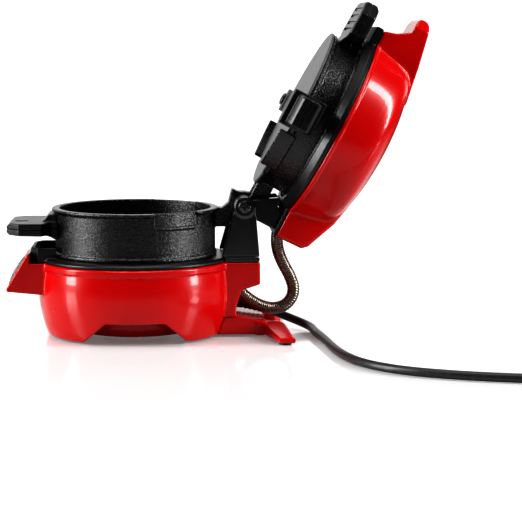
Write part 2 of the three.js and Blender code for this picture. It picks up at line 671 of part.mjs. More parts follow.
add(closedLayout, "lid_shell", lidShell(), redPlastic);
add(closedLayout, "lid_bezel", lidBezel(), castBlack);
add(closedLayout, "lid_arm_near", lidArm(-18.9, -12.6), glossBlack);
add(closedLayout, "lid_arm_far", lidArm(12.6, 18.9), glossBlack);
const upperPlate = turned([[0, 109.3], [55.6, 109.3], [55.6, 112], [0, 112]]);
add(closedLayout, "upper_heating_plate", upperPlate, castBlack);
add(closedLayout, "upper_heating_element", heatingElement(42, 115.4, 180), steel);
add(closedLayout, "upper_reflector", turned([
  [0, 119.2], [52, 119.2], [55.6, 114.6], [56.6, 115.4], [52.6, 120.4], [0, 120.4],
]), aluminium);

// ---------- conduit and its glands ----------

function glandAt(from, to) {
  return rod(from, to, 5.2).subtract(rod(
    from.map((v, i) => v - (to[i] - v)), to.map((v, i) => v + (v - from[i])), CONDUIT_DIAMETER / 2 + 0.35));
}

const [routeStart, routeNext] = CONDUIT_ROUTE;
add(device, "conduit_gland_base",
  glandAt(routeStart.map((v, i) => v + 0.3 * (routeNext[i] - v)),
    routeStart.map((v, i) => v + 0.85 * (routeNext[i] - v))), bronzeSteel);
add(device, "conduit", tube(CONDUIT_ROUTE, CONDUIT_DIAMETER, 10, 40), bronzeSteel);

// ---------- mains lead ----------

const COIL = { x: 274, y: -168, radius: 31, turns: 2.25, rise: 5.7 };
const RELIEF_END = [90, 11.2, 13.2];
const LEAD_ROUTE = [
  [90.4, 11.2, 13.1], [97.18, 10.91, 10.06], [103.86, 8.91, 7.55], [109.86, 5.02, 5.57],
  [114.58, -0.51, 4.14], [117.53, -7.25, 3.27], [118.44, -14.59, 3], [118.9, -22, 3],
  [119.8, -31, 3], [121.3, -42, 3], [123.2, -60, 3], [125, -80, 3], [127.6, -100, 3],
  [131.6, -118, 3], [138, -135, 3], [148, -150, 3], [162, -163, 3], [179, -173, 3],
  [197, -180.6, 3], [215, -186.4, 3], [230, -190.4, 3], [244, -194, 3],
];
const TAIL_ROUTE = [
  [310.6, -151.2, 12.8],
  [312.6, -142, 9],
  [313.4, -132, 5.4],
  [313.2, -122, 3.6],
  [312.6, -112.4, 3.4],
];
const PLUG = { x: 312.2, fromY: -112, toY: -82, halfWidth: 10, topZ: 12.6 };

function strainRelief() {
  const { x, y, z } = CORD_EXIT;
  const exit = [x, y, z];
  const inside = [x - 5, y, z];
  return rod(exit, RELIEF_END, 4.9, SMALL_ROUND, 3.4).add(rod(inside, exit, 4.9));
}

function plugBody() {
  const { x, fromY, toY, halfWidth, topZ } = PLUG;
  const shape = outline([
    [x - 4, fromY], [x + 4, fromY], [x + halfWidth, fromY + 12], [x + halfWidth, toY],
    [x - halfWidth, toY], [x - halfWidth, fromY + 12],
  ]);
  return upZ(shape, 0.2, topZ);
}

add(device, "strain_relief", strainRelief(), rubber);
add(cordGroup, "power_cord", tube(LEAD_ROUTE, CORD_DIAMETER, 8, 60), cordBlack);
add(cordGroup, "power_cord_tail", tube(TAIL_ROUTE, CORD_DIAMETER, 8, 12), cordBlack);
add(cordGroup, "cord_coil", turnedRing([
  [COIL.radius - 3.4, 0.2], [COIL.radius + 3.4, 0.2],
  [COIL.radius + 3.4, COIL.turns * COIL.rise + CORD_DIAMETER],
  [COIL.radius - 3.4, COIL.turns * COIL.rise + CORD_DIAMETER],
], 40).translate([COIL.x, COIL.y, 0]), cordBlack);
add(cordGroup, "plug_body", plugBody(), rubber);
for (const [index, side] of [-1, 1].entries()) {
  const middle = PLUG.x + side * 6.35;
  add(cordGroup, `plug_blade_${index + 1}`,
    block(middle - 0.75, middle + 0.75, PLUG.toY + GAP, PLUG.toY + 17, 3.2, 9.6), brass);
}

// The object stands on the floor with its own box, without the mains lead, centred over the origin.
device.updateMatrixWorld(true);
const ownBox = new THREE.Box3().setFromObject(device, true);
const middle = ownBox.getCenter(new THREE.Vector3());

const object = new THREE.Group();
object.add(device);
object.add(cordGroup);
object.position.set(-middle.x, -middle.y, 0);

export default object;
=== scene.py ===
"""Breakfast sandwich maker, standing open: surfaces, materials, light and camera.

Shapes are laid out in millimetres with the ring axis on x = y = 0 and the floor at z = 0, as the
frame was. Lid, upper ring and cooking plate are laid out closed and turned about the hinge pin.
Most pieces are given as a distance field, which is meshed and has its edges rounded by formula.
"""
import json
import math

import bmesh
import bpy
import numpy as np
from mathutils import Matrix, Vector


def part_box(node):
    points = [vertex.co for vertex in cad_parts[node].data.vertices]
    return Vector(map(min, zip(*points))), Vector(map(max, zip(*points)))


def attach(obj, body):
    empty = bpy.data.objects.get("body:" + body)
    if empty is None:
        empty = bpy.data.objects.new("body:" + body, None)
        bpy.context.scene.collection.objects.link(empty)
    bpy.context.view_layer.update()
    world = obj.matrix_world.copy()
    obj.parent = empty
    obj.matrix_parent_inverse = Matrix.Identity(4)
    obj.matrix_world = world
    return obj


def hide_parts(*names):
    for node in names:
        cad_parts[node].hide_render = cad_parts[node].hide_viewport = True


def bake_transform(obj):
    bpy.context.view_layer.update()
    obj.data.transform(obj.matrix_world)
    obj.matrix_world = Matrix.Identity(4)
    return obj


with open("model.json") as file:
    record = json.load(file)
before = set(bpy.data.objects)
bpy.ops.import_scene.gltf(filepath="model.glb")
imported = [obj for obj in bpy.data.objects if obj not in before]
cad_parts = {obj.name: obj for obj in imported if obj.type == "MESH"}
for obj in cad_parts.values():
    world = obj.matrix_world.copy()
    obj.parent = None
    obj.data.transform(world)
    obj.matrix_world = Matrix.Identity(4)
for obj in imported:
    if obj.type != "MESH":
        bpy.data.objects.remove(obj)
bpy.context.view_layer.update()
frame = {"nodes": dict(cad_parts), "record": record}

# ---------- driving sizes, in millimetres ----------

MM = 0.001
OPEN_ANGLE = math.radians(118)
CORD_DIAMETER = 5.6
CONDUIT_DIAMETER = 8.5
RING_BORE = 50.4                           # radius inside both cooking rings
PIN_HOLE = 3.3                             # radius of the holes that the hinge pin goes through
PIVOT_HOLE = 2.9                           # radius of the holes that the plate's pivot goes through
RIM_Z = 113.6                              # height of the lid's rim, closed
EDGE_BEVEL = 0.25                          # on the CAD solids that are shown as they are
FINE = 1.0


def middle_of(node):
    low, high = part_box(node)
    return (low + high) / 2


RING_AXIS = middle_of("lower_heating_plate")
SHIFT = np.array([RING_AXIS.x, RING_AXIS.y, 0.0])
PIN = middle_of("hinge_pin")
HINGE = np.array([PIN.x - SHIFT[0], 0.0, PIN.z]) / MM


def fixed(points):
    """Layout millimetres to the frame's metres, for pieces of the base."""
    return np.asarray(points, float) * MM + SHIFT


def opened(points):
    """The same for pieces laid out closed that stand open."""
    c, s = math.cos(OPEN_ANGLE), math.sin(OPEN_ANGLE)
    p = np.asarray(points, float) - HINGE
    x, y, z = p[..., 0], p[..., 1], p[..., 2]
    return fixed(np.stack([c * x + s * z, y, c * z - s * x], -1) + HINGE)


# ---------- camera ----------

IMAGE_WIDTH = 522
CAMERA = {"azimuth": -3.28, "elevation": 7.44, "distance": 1200, "aim": (84.25, 0, 47.9),
          "scale": 0.674}                  # degrees, mm, and mm across one image dot at the aim


def make_camera():
    azimuth, elevation = math.radians(CAMERA["azimuth"]), math.radians(CAMERA["elevation"])
    back = Vector((math.sin(azimuth) * math.cos(elevation), -math.cos(azimuth) * math.cos(elevation),
                   math.sin(elevation)))
    aim = Vector(fixed(CAMERA["aim"]))
    data = bpy.data.cameras.new("camera")
    camera = bpy.data.objects.new("camera", data)
    camera.location = aim + back * CAMERA["distance"] * MM
    camera.rotation_euler = back.to_track_quat("Z", "Y").to_euler()
    data.angle = 2 * math.atan(0.5 * IMAGE_WIDTH * CAMERA["scale"] / CAMERA["distance"])
    data.clip_start = 0.05
    bpy.context.collection.objects.link(camera)
    bpy.context.scene.camera = camera


make_camera()

# ---------- materials ----------


class Look:
    """A node material that is built up step by step."""

    def __init__(self, name, roughness, metallic=0.0, coat=0.0, specular=0.5):
        self.material = bpy.data.materials.new(name)
        self.material.use_nodes = True
        self.nodes = self.material.node_tree.nodes
        self.links = self.material.node_tree.links
        self.shader = self.nodes["Principled BSDF"]
        self.set("Roughness", roughness)
        self.set("Metallic", metallic)
        self.set("Coat Weight", coat)
        self.set("Coat Roughness", 0.06)
        self.set("Specular IOR Level", specular)
        self.place = self.add("ShaderNodeTexCoord").outputs["Object"]

    def set(self, socket, value):
        self.shader.inputs[socket].default_value = value

    def add(self, kind, **inputs):
        node = self.nodes.new(kind)
        for name, value in inputs.items():
            node.inputs[name.replace("_", " ")].default_value = value
        return node

    def noise(self, scale, detail=2.0):
        node = self.add("ShaderNodeTexNoise", Scale=scale, Detail=detail)
        self.links.new(self.place, node.inputs["Vector"])
        return node.outputs["Fac"]

    def cells(self, scale):
        node = self.add("ShaderNodeTexVoronoi", Scale=scale)
        node.feature = "SMOOTH_F1"
        self.links.new(self.place, node.inputs["Vector"])
        return node.outputs["Distance"]

    def ramp(self, value, stops):
        node = self.nodes.new("ShaderNodeValToRGB")
        bar = node.color_ramp.elements
        while len(bar) < len(stops):
            bar.new(0.5)
        for element, (at, colour) in zip(bar, stops):
            element.position = at
            element.color = (*colour, 1)
        self.links.new(value, node.inputs["Fac"])
        return node.outputs["Color"]

    def colour(self, value, stops):
        self.links.new(self.ramp(value, stops), self.shader.inputs["Base Color"])
        return self

    def rough(self, value, low, high):
        node = self.add("ShaderNodeMapRange", To_Min=low, To_Max=high)
        self.links.new(value, node.inputs["Value"])
        self.links.new(node.outputs["Result"], self.shader.inputs["Roughness"])
        return self

    def bump(self, value, strength, distance):
        node = self.add("ShaderNodeBump", Strength=strength, Distance=distance)
        self.links.new(value, node.inputs["Height"])
        previous = self.shader.inputs["Normal"].links
        if previous:
            self.links.new(previous[0].from_socket, node.inputs["Normal"])
        self.links.new(node.outputs["Normal"], self.shader.inputs["Normal"])
        return self


def red_plastic():
    look = Look("red_plastic", 0.25, coat=0.24, specular=0.2)
    look.colour(look.noise(25), [(0.3, (0.38, 0.0, 0.0005)), (0.7, (0.42, 0.0002, 0.001))])
    look.rough(look.noise(60), 0.21, 0.3)
    return look.bump(look.noise(900, 1), 0.02, 0.0001).material


def hammered_black():
    look = Look("hammered_black", 0.3, specular=0.5)
    look.colour(look.noise(900), [(0.45, (0.0016, 0.0016, 0.002)), (0.66, (0.006, 0.006, 0.0068))])
    look.rough(look.noise(700), 0.2, 0.36)
    look.bump(look.noise(1100), 0.6, 0.0005)
    return look.bump(look.cells(1300), 0.5, 0.0003).material


def cast_black():
    look = Look("cast_black", 0.38, specular=0.36)
    look.colour(look.noise(1200), [(0.45, (0.002, 0.002, 0.0024)), (0.62, (0.006, 0.006, 0.0065))])
    look.rough(look.noise(150), 0.3, 0.42)
    return look.bump(look.noise(1000), 0.4, 0.0003).material


def plate_black():
    look = Look("plate_black", 0.45, specular=0.4)
    # painted sheen: this dark grey base colour, far lighter than the other blacks, stands in for the black
    # non-stick plate's glossy reflection of the white surround at a grazing angle
    look.colour(look.noise(140), [(0.3, (0.045, 0.045, 0.047)), (0.7, (0.06, 0.06, 0.062))])
    look.rough(look.noise(90), 0.4, 0.52)
    return look.bump(look.noise(1500), 0.12, 0.0001).material


def grip_black():
    look = Look("grip_black", 0.38, specular=0.36)
    look.colour(look.noise(300), [(0.35, (0.002, 0.002, 0.0024)), (0.7, (0.006, 0.006, 0.0065))])
    look.rough(look.noise(200), 0.3, 0.42)
    return look.bump(look.noise(2200), 0.18, 0.00012).material


def gloss_black():
    look = Look("gloss_black", 0.2, coat=0.3)
    look.colour(look.noise(60), [(0.3, (0.006, 0.006, 0.0065)), (0.7, (0.011, 0.011, 0.012))])
    look.rough(look.noise(120), 0.16, 0.27)
    return look.bump(look.noise(1200), 0.03, 0.0001).material


def panel_grey():
    look = Look("panel_grey", 0.3)
    look.colour(look.noise(200), [(0.3, (0.035, 0.035, 0.038)), (0.7, (0.05, 0.05, 0.053))])
    return look.rough(look.noise(90), 0.24, 0.36).material


def metal(name, low, high, roughness, grain=400):
    look = Look(name, roughness, metallic=1.0)
    look.colour(look.noise(grain), [(0.3, low), (0.7, high)])
    return look.rough(look.noise(grain * 0.7), roughness * 0.8, roughness * 1.3).material


def conduit_steel():
    look = Look("conduit_steel", 0.28, metallic=0.9)
    look.colour(look.noise(500), [(0.3, (0.11, 0.085, 0.068)), (0.7, (0.19, 0.155, 0.13))])
    return look.rough(look.noise(300), 0.22, 0.34).material


def rubber_black(name, roughness):
    look = Look(name, roughness)
    look.colour(look.noise(300), [(0.35, (0.006, 0.006, 0.0065)), (0.7, (0.013, 0.013, 0.014))])
    look.rough(look.noise(150), roughness * 0.85, roughness * 1.15)
    return look.bump(look.noise(1600), 0.08, 0.0001).material


def lens(name, dark, bright):
    look = Look(name, 0.08, coat=0.8)
    look.set("Transmission Weight", 0.25)
    look.set("IOR", 1.49)
    return look.colour(look.noise(500), [(0.3, dark), (0.7, bright)]).material


def ceramic():
    look = Look("ceramic", 0.7)
    look.colour(look.noise(300), [(0.3, (0.62, 0.57, 0.47)), (0.7, (0.74, 0.69, 0.6))])
    return look.bump(look.noise(900), 0.2, 0.0002).material


LOOKS = {
    "red_plastic": red_plastic(),
    "hammered_black": hammered_black(),
    "cast_black": cast_black(),
    "plate_black": plate_black(),
    "grip_black": grip_black(),
    "gloss_black": gloss_black(),
    "panel_grey": panel_grey(),
    "steel": metal("steel", (0.42, 0.42, 0.43), (0.6, 0.6, 0.61), 0.25),
    "conduit_steel": conduit_steel(),
    "aluminium": metal("aluminium", (0.52, 0.52, 0.54), (0.66, 0.66, 0.68), 0.35, 120),
    "brass": metal("brass", (0.5, 0.37, 0.16), (0.62, 0.47, 0.22), 0.25),
    "ceramic": ceramic(),
    "rubber": rubber_black("rubber", 0.62),
    "cord": rubber_black("cord", 0.42),
    "red_lens": lens("red_lens", (0.42, 0.004, 0.01), (0.62, 0.01, 0.02)),
    "green_lens": lens("green_lens", (0.01, 0.16, 0.04), (0.02, 0.24, 0.06)),
}

# ---------- distance fields ----------


def length2(a, b):
    return np.sqrt(a * a + b * b)


def polygon(pairs):
    """Signed distance to a closed outline in a plane, negative inside."""
    corners = np.array(pairs, float)

    def distance(u, v):
        nearest = np.full(u.shape, np.inf)
        inside = np.zeros(u.shape, bool)
        for (ax, ay), (bx, by) in zip(corners, np.roll(corners, -1, axis=0)):
            ex, ey = bx - ax, by - ay
            wx, wy = u - ax, v - ay
            along = np.clip((wx * ex + wy * ey) / (ex * ex + ey * ey), 0, 1)
            nearest = np.minimum(nearest, (wx - ex * along) ** 2 + (wy - ey * along) ** 2)
            crosses = (ay > v) != (by > v)
            if ay != by:
                inside ^= crosses & (u < ax + (v - ay) * ex / ey)
        return np.where(inside, -1.0, 1.0) * np.sqrt(nearest)

    return distance


def inset(pairs, amount):
    """The outline moved inwards by an amount, with mitred corners."""
    p = np.array(pairs, float)
    area = np.sum(p[:, 0] * np.roll(p[:, 1], -1) - np.roll(p[:, 0], -1) * p[:, 1])
    if area < 0:
        p = p[::-1]
    before = p - np.roll(p, 1, axis=0)
    after = np.roll(p, -1, axis=0) - p
    before /= np.linalg.norm(before, axis=1)[:, None]
    after /= np.linalg.norm(after, axis=1)[:, None]
    n1 = np.stack([-before[:, 1], before[:, 0]], 1)
    n2 = np.stack([-after[:, 1], after[:, 0]], 1)
    return p + amount * (n1 + n2) / (1 + (n1 * n2).sum(1))[:, None]


def turned(pairs, rounding=0.0):
    """A body of revolution about z from its [radius, z] outline."""
    shape = polygon(inset(pairs, rounding))
    return lambda p: shape(length2(p[:, 0], p[:, 1]), p[:, 2]) - rounding


def prism(pairs, low, high, rounding, plane="xz"):
    """An outline drawn in one plane, made solid across it between low and high."""
    shape = polygon(inset(pairs, rounding))
    u, v, w = {"xz": (0, 2, 1), "xy": (0, 1, 2), "yz": (1, 2, 0)}[plane]
    centre, half = (low + high) / 2, (high - low) / 2 - rounding

    def distance(p):
        a = shape(p[:, u], p[:, v])
        b = np.abs(p[:, w] - centre) - half
        return np.minimum(np.maximum(a, b), 0) + length2(np.maximum(a, 0), np.maximum(b, 0)) - rounding

    return distance


def box(low, high, rounding):
    centre = (np.array(low, float) + high) / 2
    half = (np.array(high, float) - low) / 2 - rounding

    def distance(p):
        q = np.abs(p - centre) - half
        return np.linalg.norm(np.maximum(q, 0), axis=1) + np.minimum(q.max(axis=1), 0) - rounding

    return distance


def rod(start, end, radius, rounding=0.0):
    start, end = np.array(start, float), np.array(end, float)
    long = np.linalg.norm(end - start)
    axis = (end - start) / long

    def distance(p):
        w = p - start
        along = w @ axis
        a = np.linalg.norm(w - along[:, None] * axis, axis=1) - radius + rounding
        b = np.abs(along - long / 2) - long / 2 + rounding
        return np.minimum(np.maximum(a, b), 0) + length2(np.maximum(a, 0), np.maximum(b, 0)) - rounding

    return distance


def ball(centre, radius):
    middle = np.array(centre, float)
    return lambda p: np.linalg.norm(p - middle, axis=1) - radius


def sector(inner, outer, from_degrees, to_degrees, low, high, rounding):
    """A piece of a ring about z."""
    centre, half = (inner + outer) / 2, (outer - inner) / 2 - rounding
    facing = math.radians((from_degrees + to_degrees) / 2)
    spread = math.radians((to_degrees - from_degrees) / 2)
    z_centre, z_half = (low + high) / 2, (high - low) / 2 - rounding

    def distance(p):
        radius = length2(p[:, 0], p[:, 1])
        turn = (np.arctan2(p[:, 1], p[:, 0]) - facing + math.pi) % (2 * math.pi) - math.pi
        q = np.stack([
            np.abs(radius - centre) - half,
            np.abs(p[:, 2] - z_centre) - z_half,
            (np.abs(turn) - spread) * radius + rounding,
        ], 1)
        return np.linalg.norm(np.maximum(q, 0), axis=1) + np.minimum(q.max(axis=1), 0) - rounding

    return distance


def join(first, *others, blend=0.0):
    """Shapes added together, with fillets as wide as the blend."""
    def distance(p):
        d = first(p)
        for other in others:
            e = other(p)
            lap = np.maximum(blend - np.abs(d - e), 0) / blend if blend else 0
            d = np.minimum(d, e) - lap * lap * blend / 4
        return d

    return distance


def cut(first, *others, blend=0.0):
    """The first shape with the others taken away, with edges eased over the blend."""
    def distance(p):
        d = first(p)
        for other in others:
            e = -other(p)
            lap = np.maximum(blend - np.abs(d - e), 0) / blend if blend else 0
            d = np.maximum(d, e) + lap * lap * blend / 4
        return d

    return distance


def both(first, *others, blend=0.0):
    """What lies inside every shape."""
    return cut(first, *[(lambda p, f=f: -f(p)) for f in others], blend=blend)


def moved(field, x=0.0, y=0.0, z=0.0):
    by = np.array([x, y, z])
    return lambda p: field(p - by)


def moved_in(field, amount):
    """The same shape with its surface moved inwards."""
    return lambda p: field(p) + amount


# ---------- meshes ----------

BLOCK = 6                                  # grid samples that are skipped or worked out together


def sample(field, low, high, step):
    """The field on a grid, worked out finely only near its surface."""
    low = np.array(low, float) - 2 * step
    blocks = np.ceil((np.array(high, float) + 2 * step - low) / (step * BLOCK)).astype(int)
    shape = blocks * BLOCK
    block_size = step * BLOCK
    corner = np.stack(np.meshgrid(*[np.arange(n) for n in blocks], indexing="ij"), -1).reshape(-1, 3)
    at_centre = field(low + (corner + 0.5) * block_size)
    values = np.repeat(np.repeat(np.repeat(at_centre.reshape(blocks), BLOCK, 0), BLOCK, 1), BLOCK, 2)
    near = corner[np.abs(at_centre) < block_size * 1.35]
    offsets = np.stack(np.meshgrid(*[np.arange(BLOCK)] * 3, indexing="ij"), -1).reshape(-1, 3)
    for part in np.array_split(near, max(1, len(near) // 1500)):
        index = (part[:, None] * BLOCK + offsets[None]).reshape(-1, 3)
        values[index[:, 0], index[:, 1], index[:, 2]] = field(low + index * step)
    return values.reshape(shape), low


def surface_net(values):
    """Corners, in grid steps, and four-sided faces of the surface where values change sign."""
    cells = np.array(values.shape) - 1
    total = np.zeros((cells.prod(), 3))
    count = np.zeros(cells.prod())
    quads = []
    for axis in range(3):
        u, v = (axis + 1) % 3, (axis + 2) % 3
        first = np.take(values, range(cells[axis]), axis)
        second = np.take(values, range(1, cells[axis] + 1), axis)
        edge = np.argwhere((first < 0) != (second < 0))
        beside = edge[:, [u, v]]
        edge = edge[((beside > 0) & (beside < cells[[u, v]])).all(axis=1)]
        a = first[tuple(edge.T)]
        b = second[tuple(edge.T)]
        crossing = edge.astype(float)
        crossing[:, axis] += a / (a - b)
        around = []
        for du, dv in ((1, 1), (0, 1), (0, 0), (1, 0)):
            cell = edge.copy()
            cell[:, u] -= du
            cell[:, v] -= dv
            flat = np.ravel_multi_index(tuple(cell.T), cells)
            for k in range(3):
                total[:, k] += np.bincount(flat, crossing[:, k], len(total))
            count += np.bincount(flat, minlength=len(count))
            around.append(flat)
        quad = np.stack(around, 1)
        quad[a >= 0] = quad[a >= 0][:, ::-1]
        quads.append(quad)
    used = np.flatnonzero(count)
    number = np.full(len(count), -1)
    number[used] = np.arange(len(used))
    return total[used] / count[used, None], number[np.concatenate(quads)]


def gradient(field, points, reach=0.04):
    """The field's slope at each point, from two samples a short reach apart on each axis."""
    parts = []
    for axis in range(3):
        step = np.zeros(3)
        step[axis] = reach
        parts.append(field(points + step) - field(points - step))
    return np.stack(parts, 1) / (2 * reach)


def settle(field, points, step, rounds=2):
    """Points moved straight onto the surface."""
    for _ in range(rounds):
        slope = gradient(field, points)
        size = np.maximum((slope * slope).sum(1), 0.2)
        move = field(points)[:, None] * slope / size[:, None]
        far = np.linalg.norm(move, axis=1, keepdims=True)
        points = points - move * np.minimum(1, 0.8 * step / np.maximum(far, 1e-9))
    return points


def evened(points, quads):
    """Points moved towards the middle of their neighbours."""
    ends = np.concatenate([quads[:, [0, 1]], quads[:, [1, 2]], quads[:, [2, 3]], quads[:, [3, 0]]])
    count = np.bincount(ends[:, 0], minlength=len(points))
    mean = np.stack([np.bincount(ends[:, 0], points[ends[:, 1], k], len(points)) for k in range(3)], 1)
    return points + 0.6 * (mean / np.maximum(count, 1)[:, None] - points)


def placing(body):
    """The base is laid out as it stands; what moves with the lid is laid out closed."""
    return fixed if body == "base" else opened


def link(name, mesh, look, body, node):
    piece = bpy.data.objects.new(name, mesh)
    bpy.context.collection.objects.link(piece)
    mesh.materials.append(LOOKS[look])
    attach(piece, body)
    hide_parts(node)
    return piece


def fill(mesh, points, faces):
    """Faces all have the same number of corners."""
    faces = np.asarray(faces)
    sides = faces.shape[1]
    mesh.vertices.add(len(points))
    mesh.vertices.foreach_set("co", np.asarray(points, np.float32).ravel())
    mesh.loops.add(faces.size)
    mesh.loops.foreach_set("vertex_index", faces.astype(np.int32).ravel())
    mesh.polygons.add(len(faces))
    mesh.polygons.foreach_set("loop_start", np.arange(0, faces.size, sides, dtype=np.int32))
    mesh.polygons.foreach_set("use_smooth", np.ones(len(faces), bool))
    mesh.update(calc_edges=True)
    mesh.validate()


def moulded(name, field, low, high, step, look, body, node):
    """A piece whose surface is where its field is zero, in place of a CAD node."""
    place = placing(body)
    step = step * FINE
    values, origin = sample(field, low, high, step)
    points, quads = surface_net(values)
    points = settle(field, points * step + origin, step)
    points = settle(field, evened(points, quads), step)
    normals = gradient(field, points)
    normals /= np.maximum(np.linalg.norm(normals, axis=1, keepdims=True), 1e-9)
    placed = place(points)
    mesh = bpy.data.meshes.new(name)
    fill(mesh, placed, quads)
    turned_normals = (place(points + normals) - placed) / MM
    mesh.normals_split_custom_set_from_vertices(turned_normals.tolist())
    return link(name, mesh, look, body, node)


def smooth_line(points, per_span=12):
    """A smooth line through points, by centripetal Catmull-Rom."""
    p = np.array(points, float)
    p = np.vstack([2 * p[0] - p[1], p, 2 * p[-1] - p[-2]])
    out = []
    for a, b, c, d in zip(p, p[1:], p[2:], p[3:]):
        t0 = 0.0
        t1 = t0 + np.linalg.norm(b - a) ** 0.5
        t2 = t1 + np.linalg.norm(c - b) ** 0.5
        t3 = t2 + np.linalg.norm(d - c) ** 0.5
        for t in np.linspace(t1, t2, per_span, endpoint=False):
            ab = (t1 - t) / (t1 - t0) * a + (t - t0) / (t1 - t0) * b
            bc = (t2 - t) / (t2 - t1) * b + (t - t1) / (t2 - t1) * c
            cd = (t3 - t) / (t3 - t2) * c + (t - t2) / (t3 - t2) * d
            abc = (t2 - t) / (t2 - t0) * ab + (t - t0) / (t2 - t0) * bc
            bcd = (t3 - t) / (t3 - t1) * bc + (t - t1) / (t3 - t1) * cd
            out.append((t2 - t) / (t2 - t1) * abc + (t - t1) / (t2 - t1) * bcd)
    out.append(p[-2])
    return np.array(out)


def swept(name, line, radius, sides, spacing, look, body, node):
    """A tube along a line, its radius a function of the way along and the way round."""
    gaps = np.linalg.norm(np.diff(line, axis=0), axis=1)
    along = np.concatenate([[0], np.cumsum(gaps)])
    stops = np.linspace(0, along[-1], max(3, int(along[-1] / (spacing * FINE)) + 1))
    centre = np.stack([np.interp(stops, along, line[:, k]) for k in range(3)], 1)
    forward = np.gradient(centre, axis=0)
    forward /= np.linalg.norm(forward, axis=1)[:, None]
    side = np.cross(forward[0], [0, 1, 0.01])
    around = np.arange(sides) / sides * 2 * math.pi
    rings = []
    for point, way, s in zip(centre, forward, stops):
        side = side - way * (side @ way)
        side /= np.linalg.norm(side)
        other = np.cross(way, side)
        r = radius(s, around)
        rings.append(point + np.outer(r * np.cos(around), side) + np.outer(r * np.sin(around), other))
    points = np.concatenate(rings)
    index = np.arange(len(rings) * sides).reshape(-1, sides)
    a, b = index[:-1], index[1:]
    faces = np.stack([a, np.roll(a, -1, 1), np.roll(b, -1, 1), b], -1).reshape(-1, 4)
    mesh = bpy.data.meshes.new(name)
    fill(mesh, placing(body)(points), faces)
    shape = bmesh.new()
    shape.from_mesh(mesh)
    rims = [e for e in shape.edges if e.is_boundary]
    bmesh.ops.holes_fill(shape, edges=rims, sides=0)
    bmesh.ops.recalc_face_normals(shape, faces=shape.faces)
    shape.to_mesh(mesh)
    shape.free()
    return link(name, mesh, look, body, node)


# ---------- mains lead ----------

COIL = {"x": 274, "y": -168, "radius": 31, "turns": 2.25, "rise": 5.7}
CORD_EXIT = (68.4, 11, 19.5)
RELIEF_END = (90, 11.2, 13.2)
LEAD_ROUTE = [
    (90.4, 11.2, 13.1),
    (97.18, 10.91, 10.06),
    (103.86, 8.91, 7.55),
    (109.86, 5.02, 5.57),
    (114.58, -0.51, 4.14),
    (117.53, -7.25, 3.27),
    (118.44, -14.59, 3),
    (118.9, -22, 3),
    (119.8, -31, 3),
    (121.3, -42, 3),
    (123.2, -60, 3),
    (125, -80, 3),
    (127.6, -100, 3),
    (131.6, -118, 3),
    (138, -135, 3),
    (148, -150, 3),
    (162, -163, 3),
    (179, -173, 3),
    (197, -180.6, 3),
    (215, -186.4, 3),
    (230, -190.4, 3),
    (244, -194, 3),
]
TAIL_ROUTE = [
    (310.6, -151.2, 12.8),
    (312.6, -142, 8.8),
    (313.4, -132, 5.8),
    (313.2, -122, 5.4),
    (312.4, -112.2, 6.4),
]


def coil_route():
    """Sixteen points to a turn, rising as it goes round."""
    steps = int(16 * COIL["turns"])
    out = []
    for i in range(steps + 1):
        turn = COIL["turns"] * i / steps
        angle = math.radians(-90 + 360 * turn)
        x = COIL["x"] + COIL["radius"] * math.cos(angle)
        y = COIL["y"] + COIL["radius"] * math.sin(angle)
        out.append((x, y, 3 + COIL["rise"] * turn))
    return out


def mains_lead():
    route = [*LEAD_ROUTE, (257, -197.2, 3), *coil_route(), (307.4, -159.5, 14.9), *TAIL_ROUTE]
    data = bpy.data.curves.new("mains_lead", "CURVE")
    data.dimensions = "3D"
    data.bevel_depth = CORD_DIAMETER / 2 * MM
    data.bevel_resolution = 5
    data.resolution_u = 8
    data.use_fill_caps = True
    spline = data.splines.new("BEZIER")
    spline.bezier_points.add(len(route) - 1)
    for knot, place in zip(spline.bezier_points, fixed(route)):
        knot.co = place
        knot.handle_left_type = knot.handle_right_type = "AUTO"
    data.materials.append(LOOKS["cord"])
    lead = bpy.data.objects.new("mains_lead", data)
    bpy.context.collection.objects.link(lead)
    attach(lead, "base")
    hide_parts("power_cord", "power_cord_tail", "cord_coil")
    return lead


def strain_relief():
    line = smooth_line([(63.4, 11, 19.5), CORD_EXIT, (79.5, 11.1, 16.6), RELIEF_END])

    def radius(s, around):
        taper = 4.9 - 1.5 * max(0, s - 5) / 22.5
        groove = 0.35 * (s > 8) * (math.sin(s * 2 * math.pi / 3.2) > 0.2)
        return np.full(around.shape, taper - groove)

    return swept("strain_relief_boot", line, radius, 28, 0.4, "rubber", "base", "strain_relief")


def plug():
    x, back, front = 312.2, -112, -82
    neck, shoulder, half = 4, back + 12, 10
    outline = [(x - neck, back), (x + neck, back), (x + half, shoulder), (x + half, front),
               (x - half, front), (x - half, shoulder)]
    body = prism(outline, 0.2, 12.6, 2.2, "xy")
    grooves = []
    for i in range(3):
        near, far = back + 15 + 3.4 * i, back + 16.6 + 3.4 * i
        grooves += [box((x - 20, near, 9), (x - 8.9, far, 20), 0.4),
                    box((x + 8.9, near, -9), (x + 20, far, 20), 0.4)]
    return moulded("plug", cut(body, *grooves, blend=0.5), (x - 11, back - 1, 0), (x + 11, front + 1, 13),
                   0.6, "rubber", "base", "plug_body")


lead = mains_lead()
boot = strain_relief()
plug_piece = plug()

# ---------- base ----------


def curve(points, per_span=5):
    """An outline's curved stretch, as more points than it is given by."""
    return [tuple(p) for p in smooth_line(points, per_span)]


BELLY = curve([(58.8, 1.5), (60.6, 6), (62.6, 13), (64.3, 21), (65, 29), (64.8, 37), (64, 45.2)])
POD_HALF = 26
PANEL_FOOT = (-84.5, 33.8)
PANEL_HEAD = (-70.5, 56.5)
PANEL_RUN = PANEL_HEAD[0] - PANEL_FOOT[0]
PANEL_RISE = PANEL_HEAD[1] - PANEL_FOOT[1]
PANEL_LONG = math.hypot(PANEL_RUN, PANEL_RISE)
LAMP_AT = 0.44 * PANEL_LONG
LAMP_APART = 13                            # from the middle to each lamp
WALL = 2.6


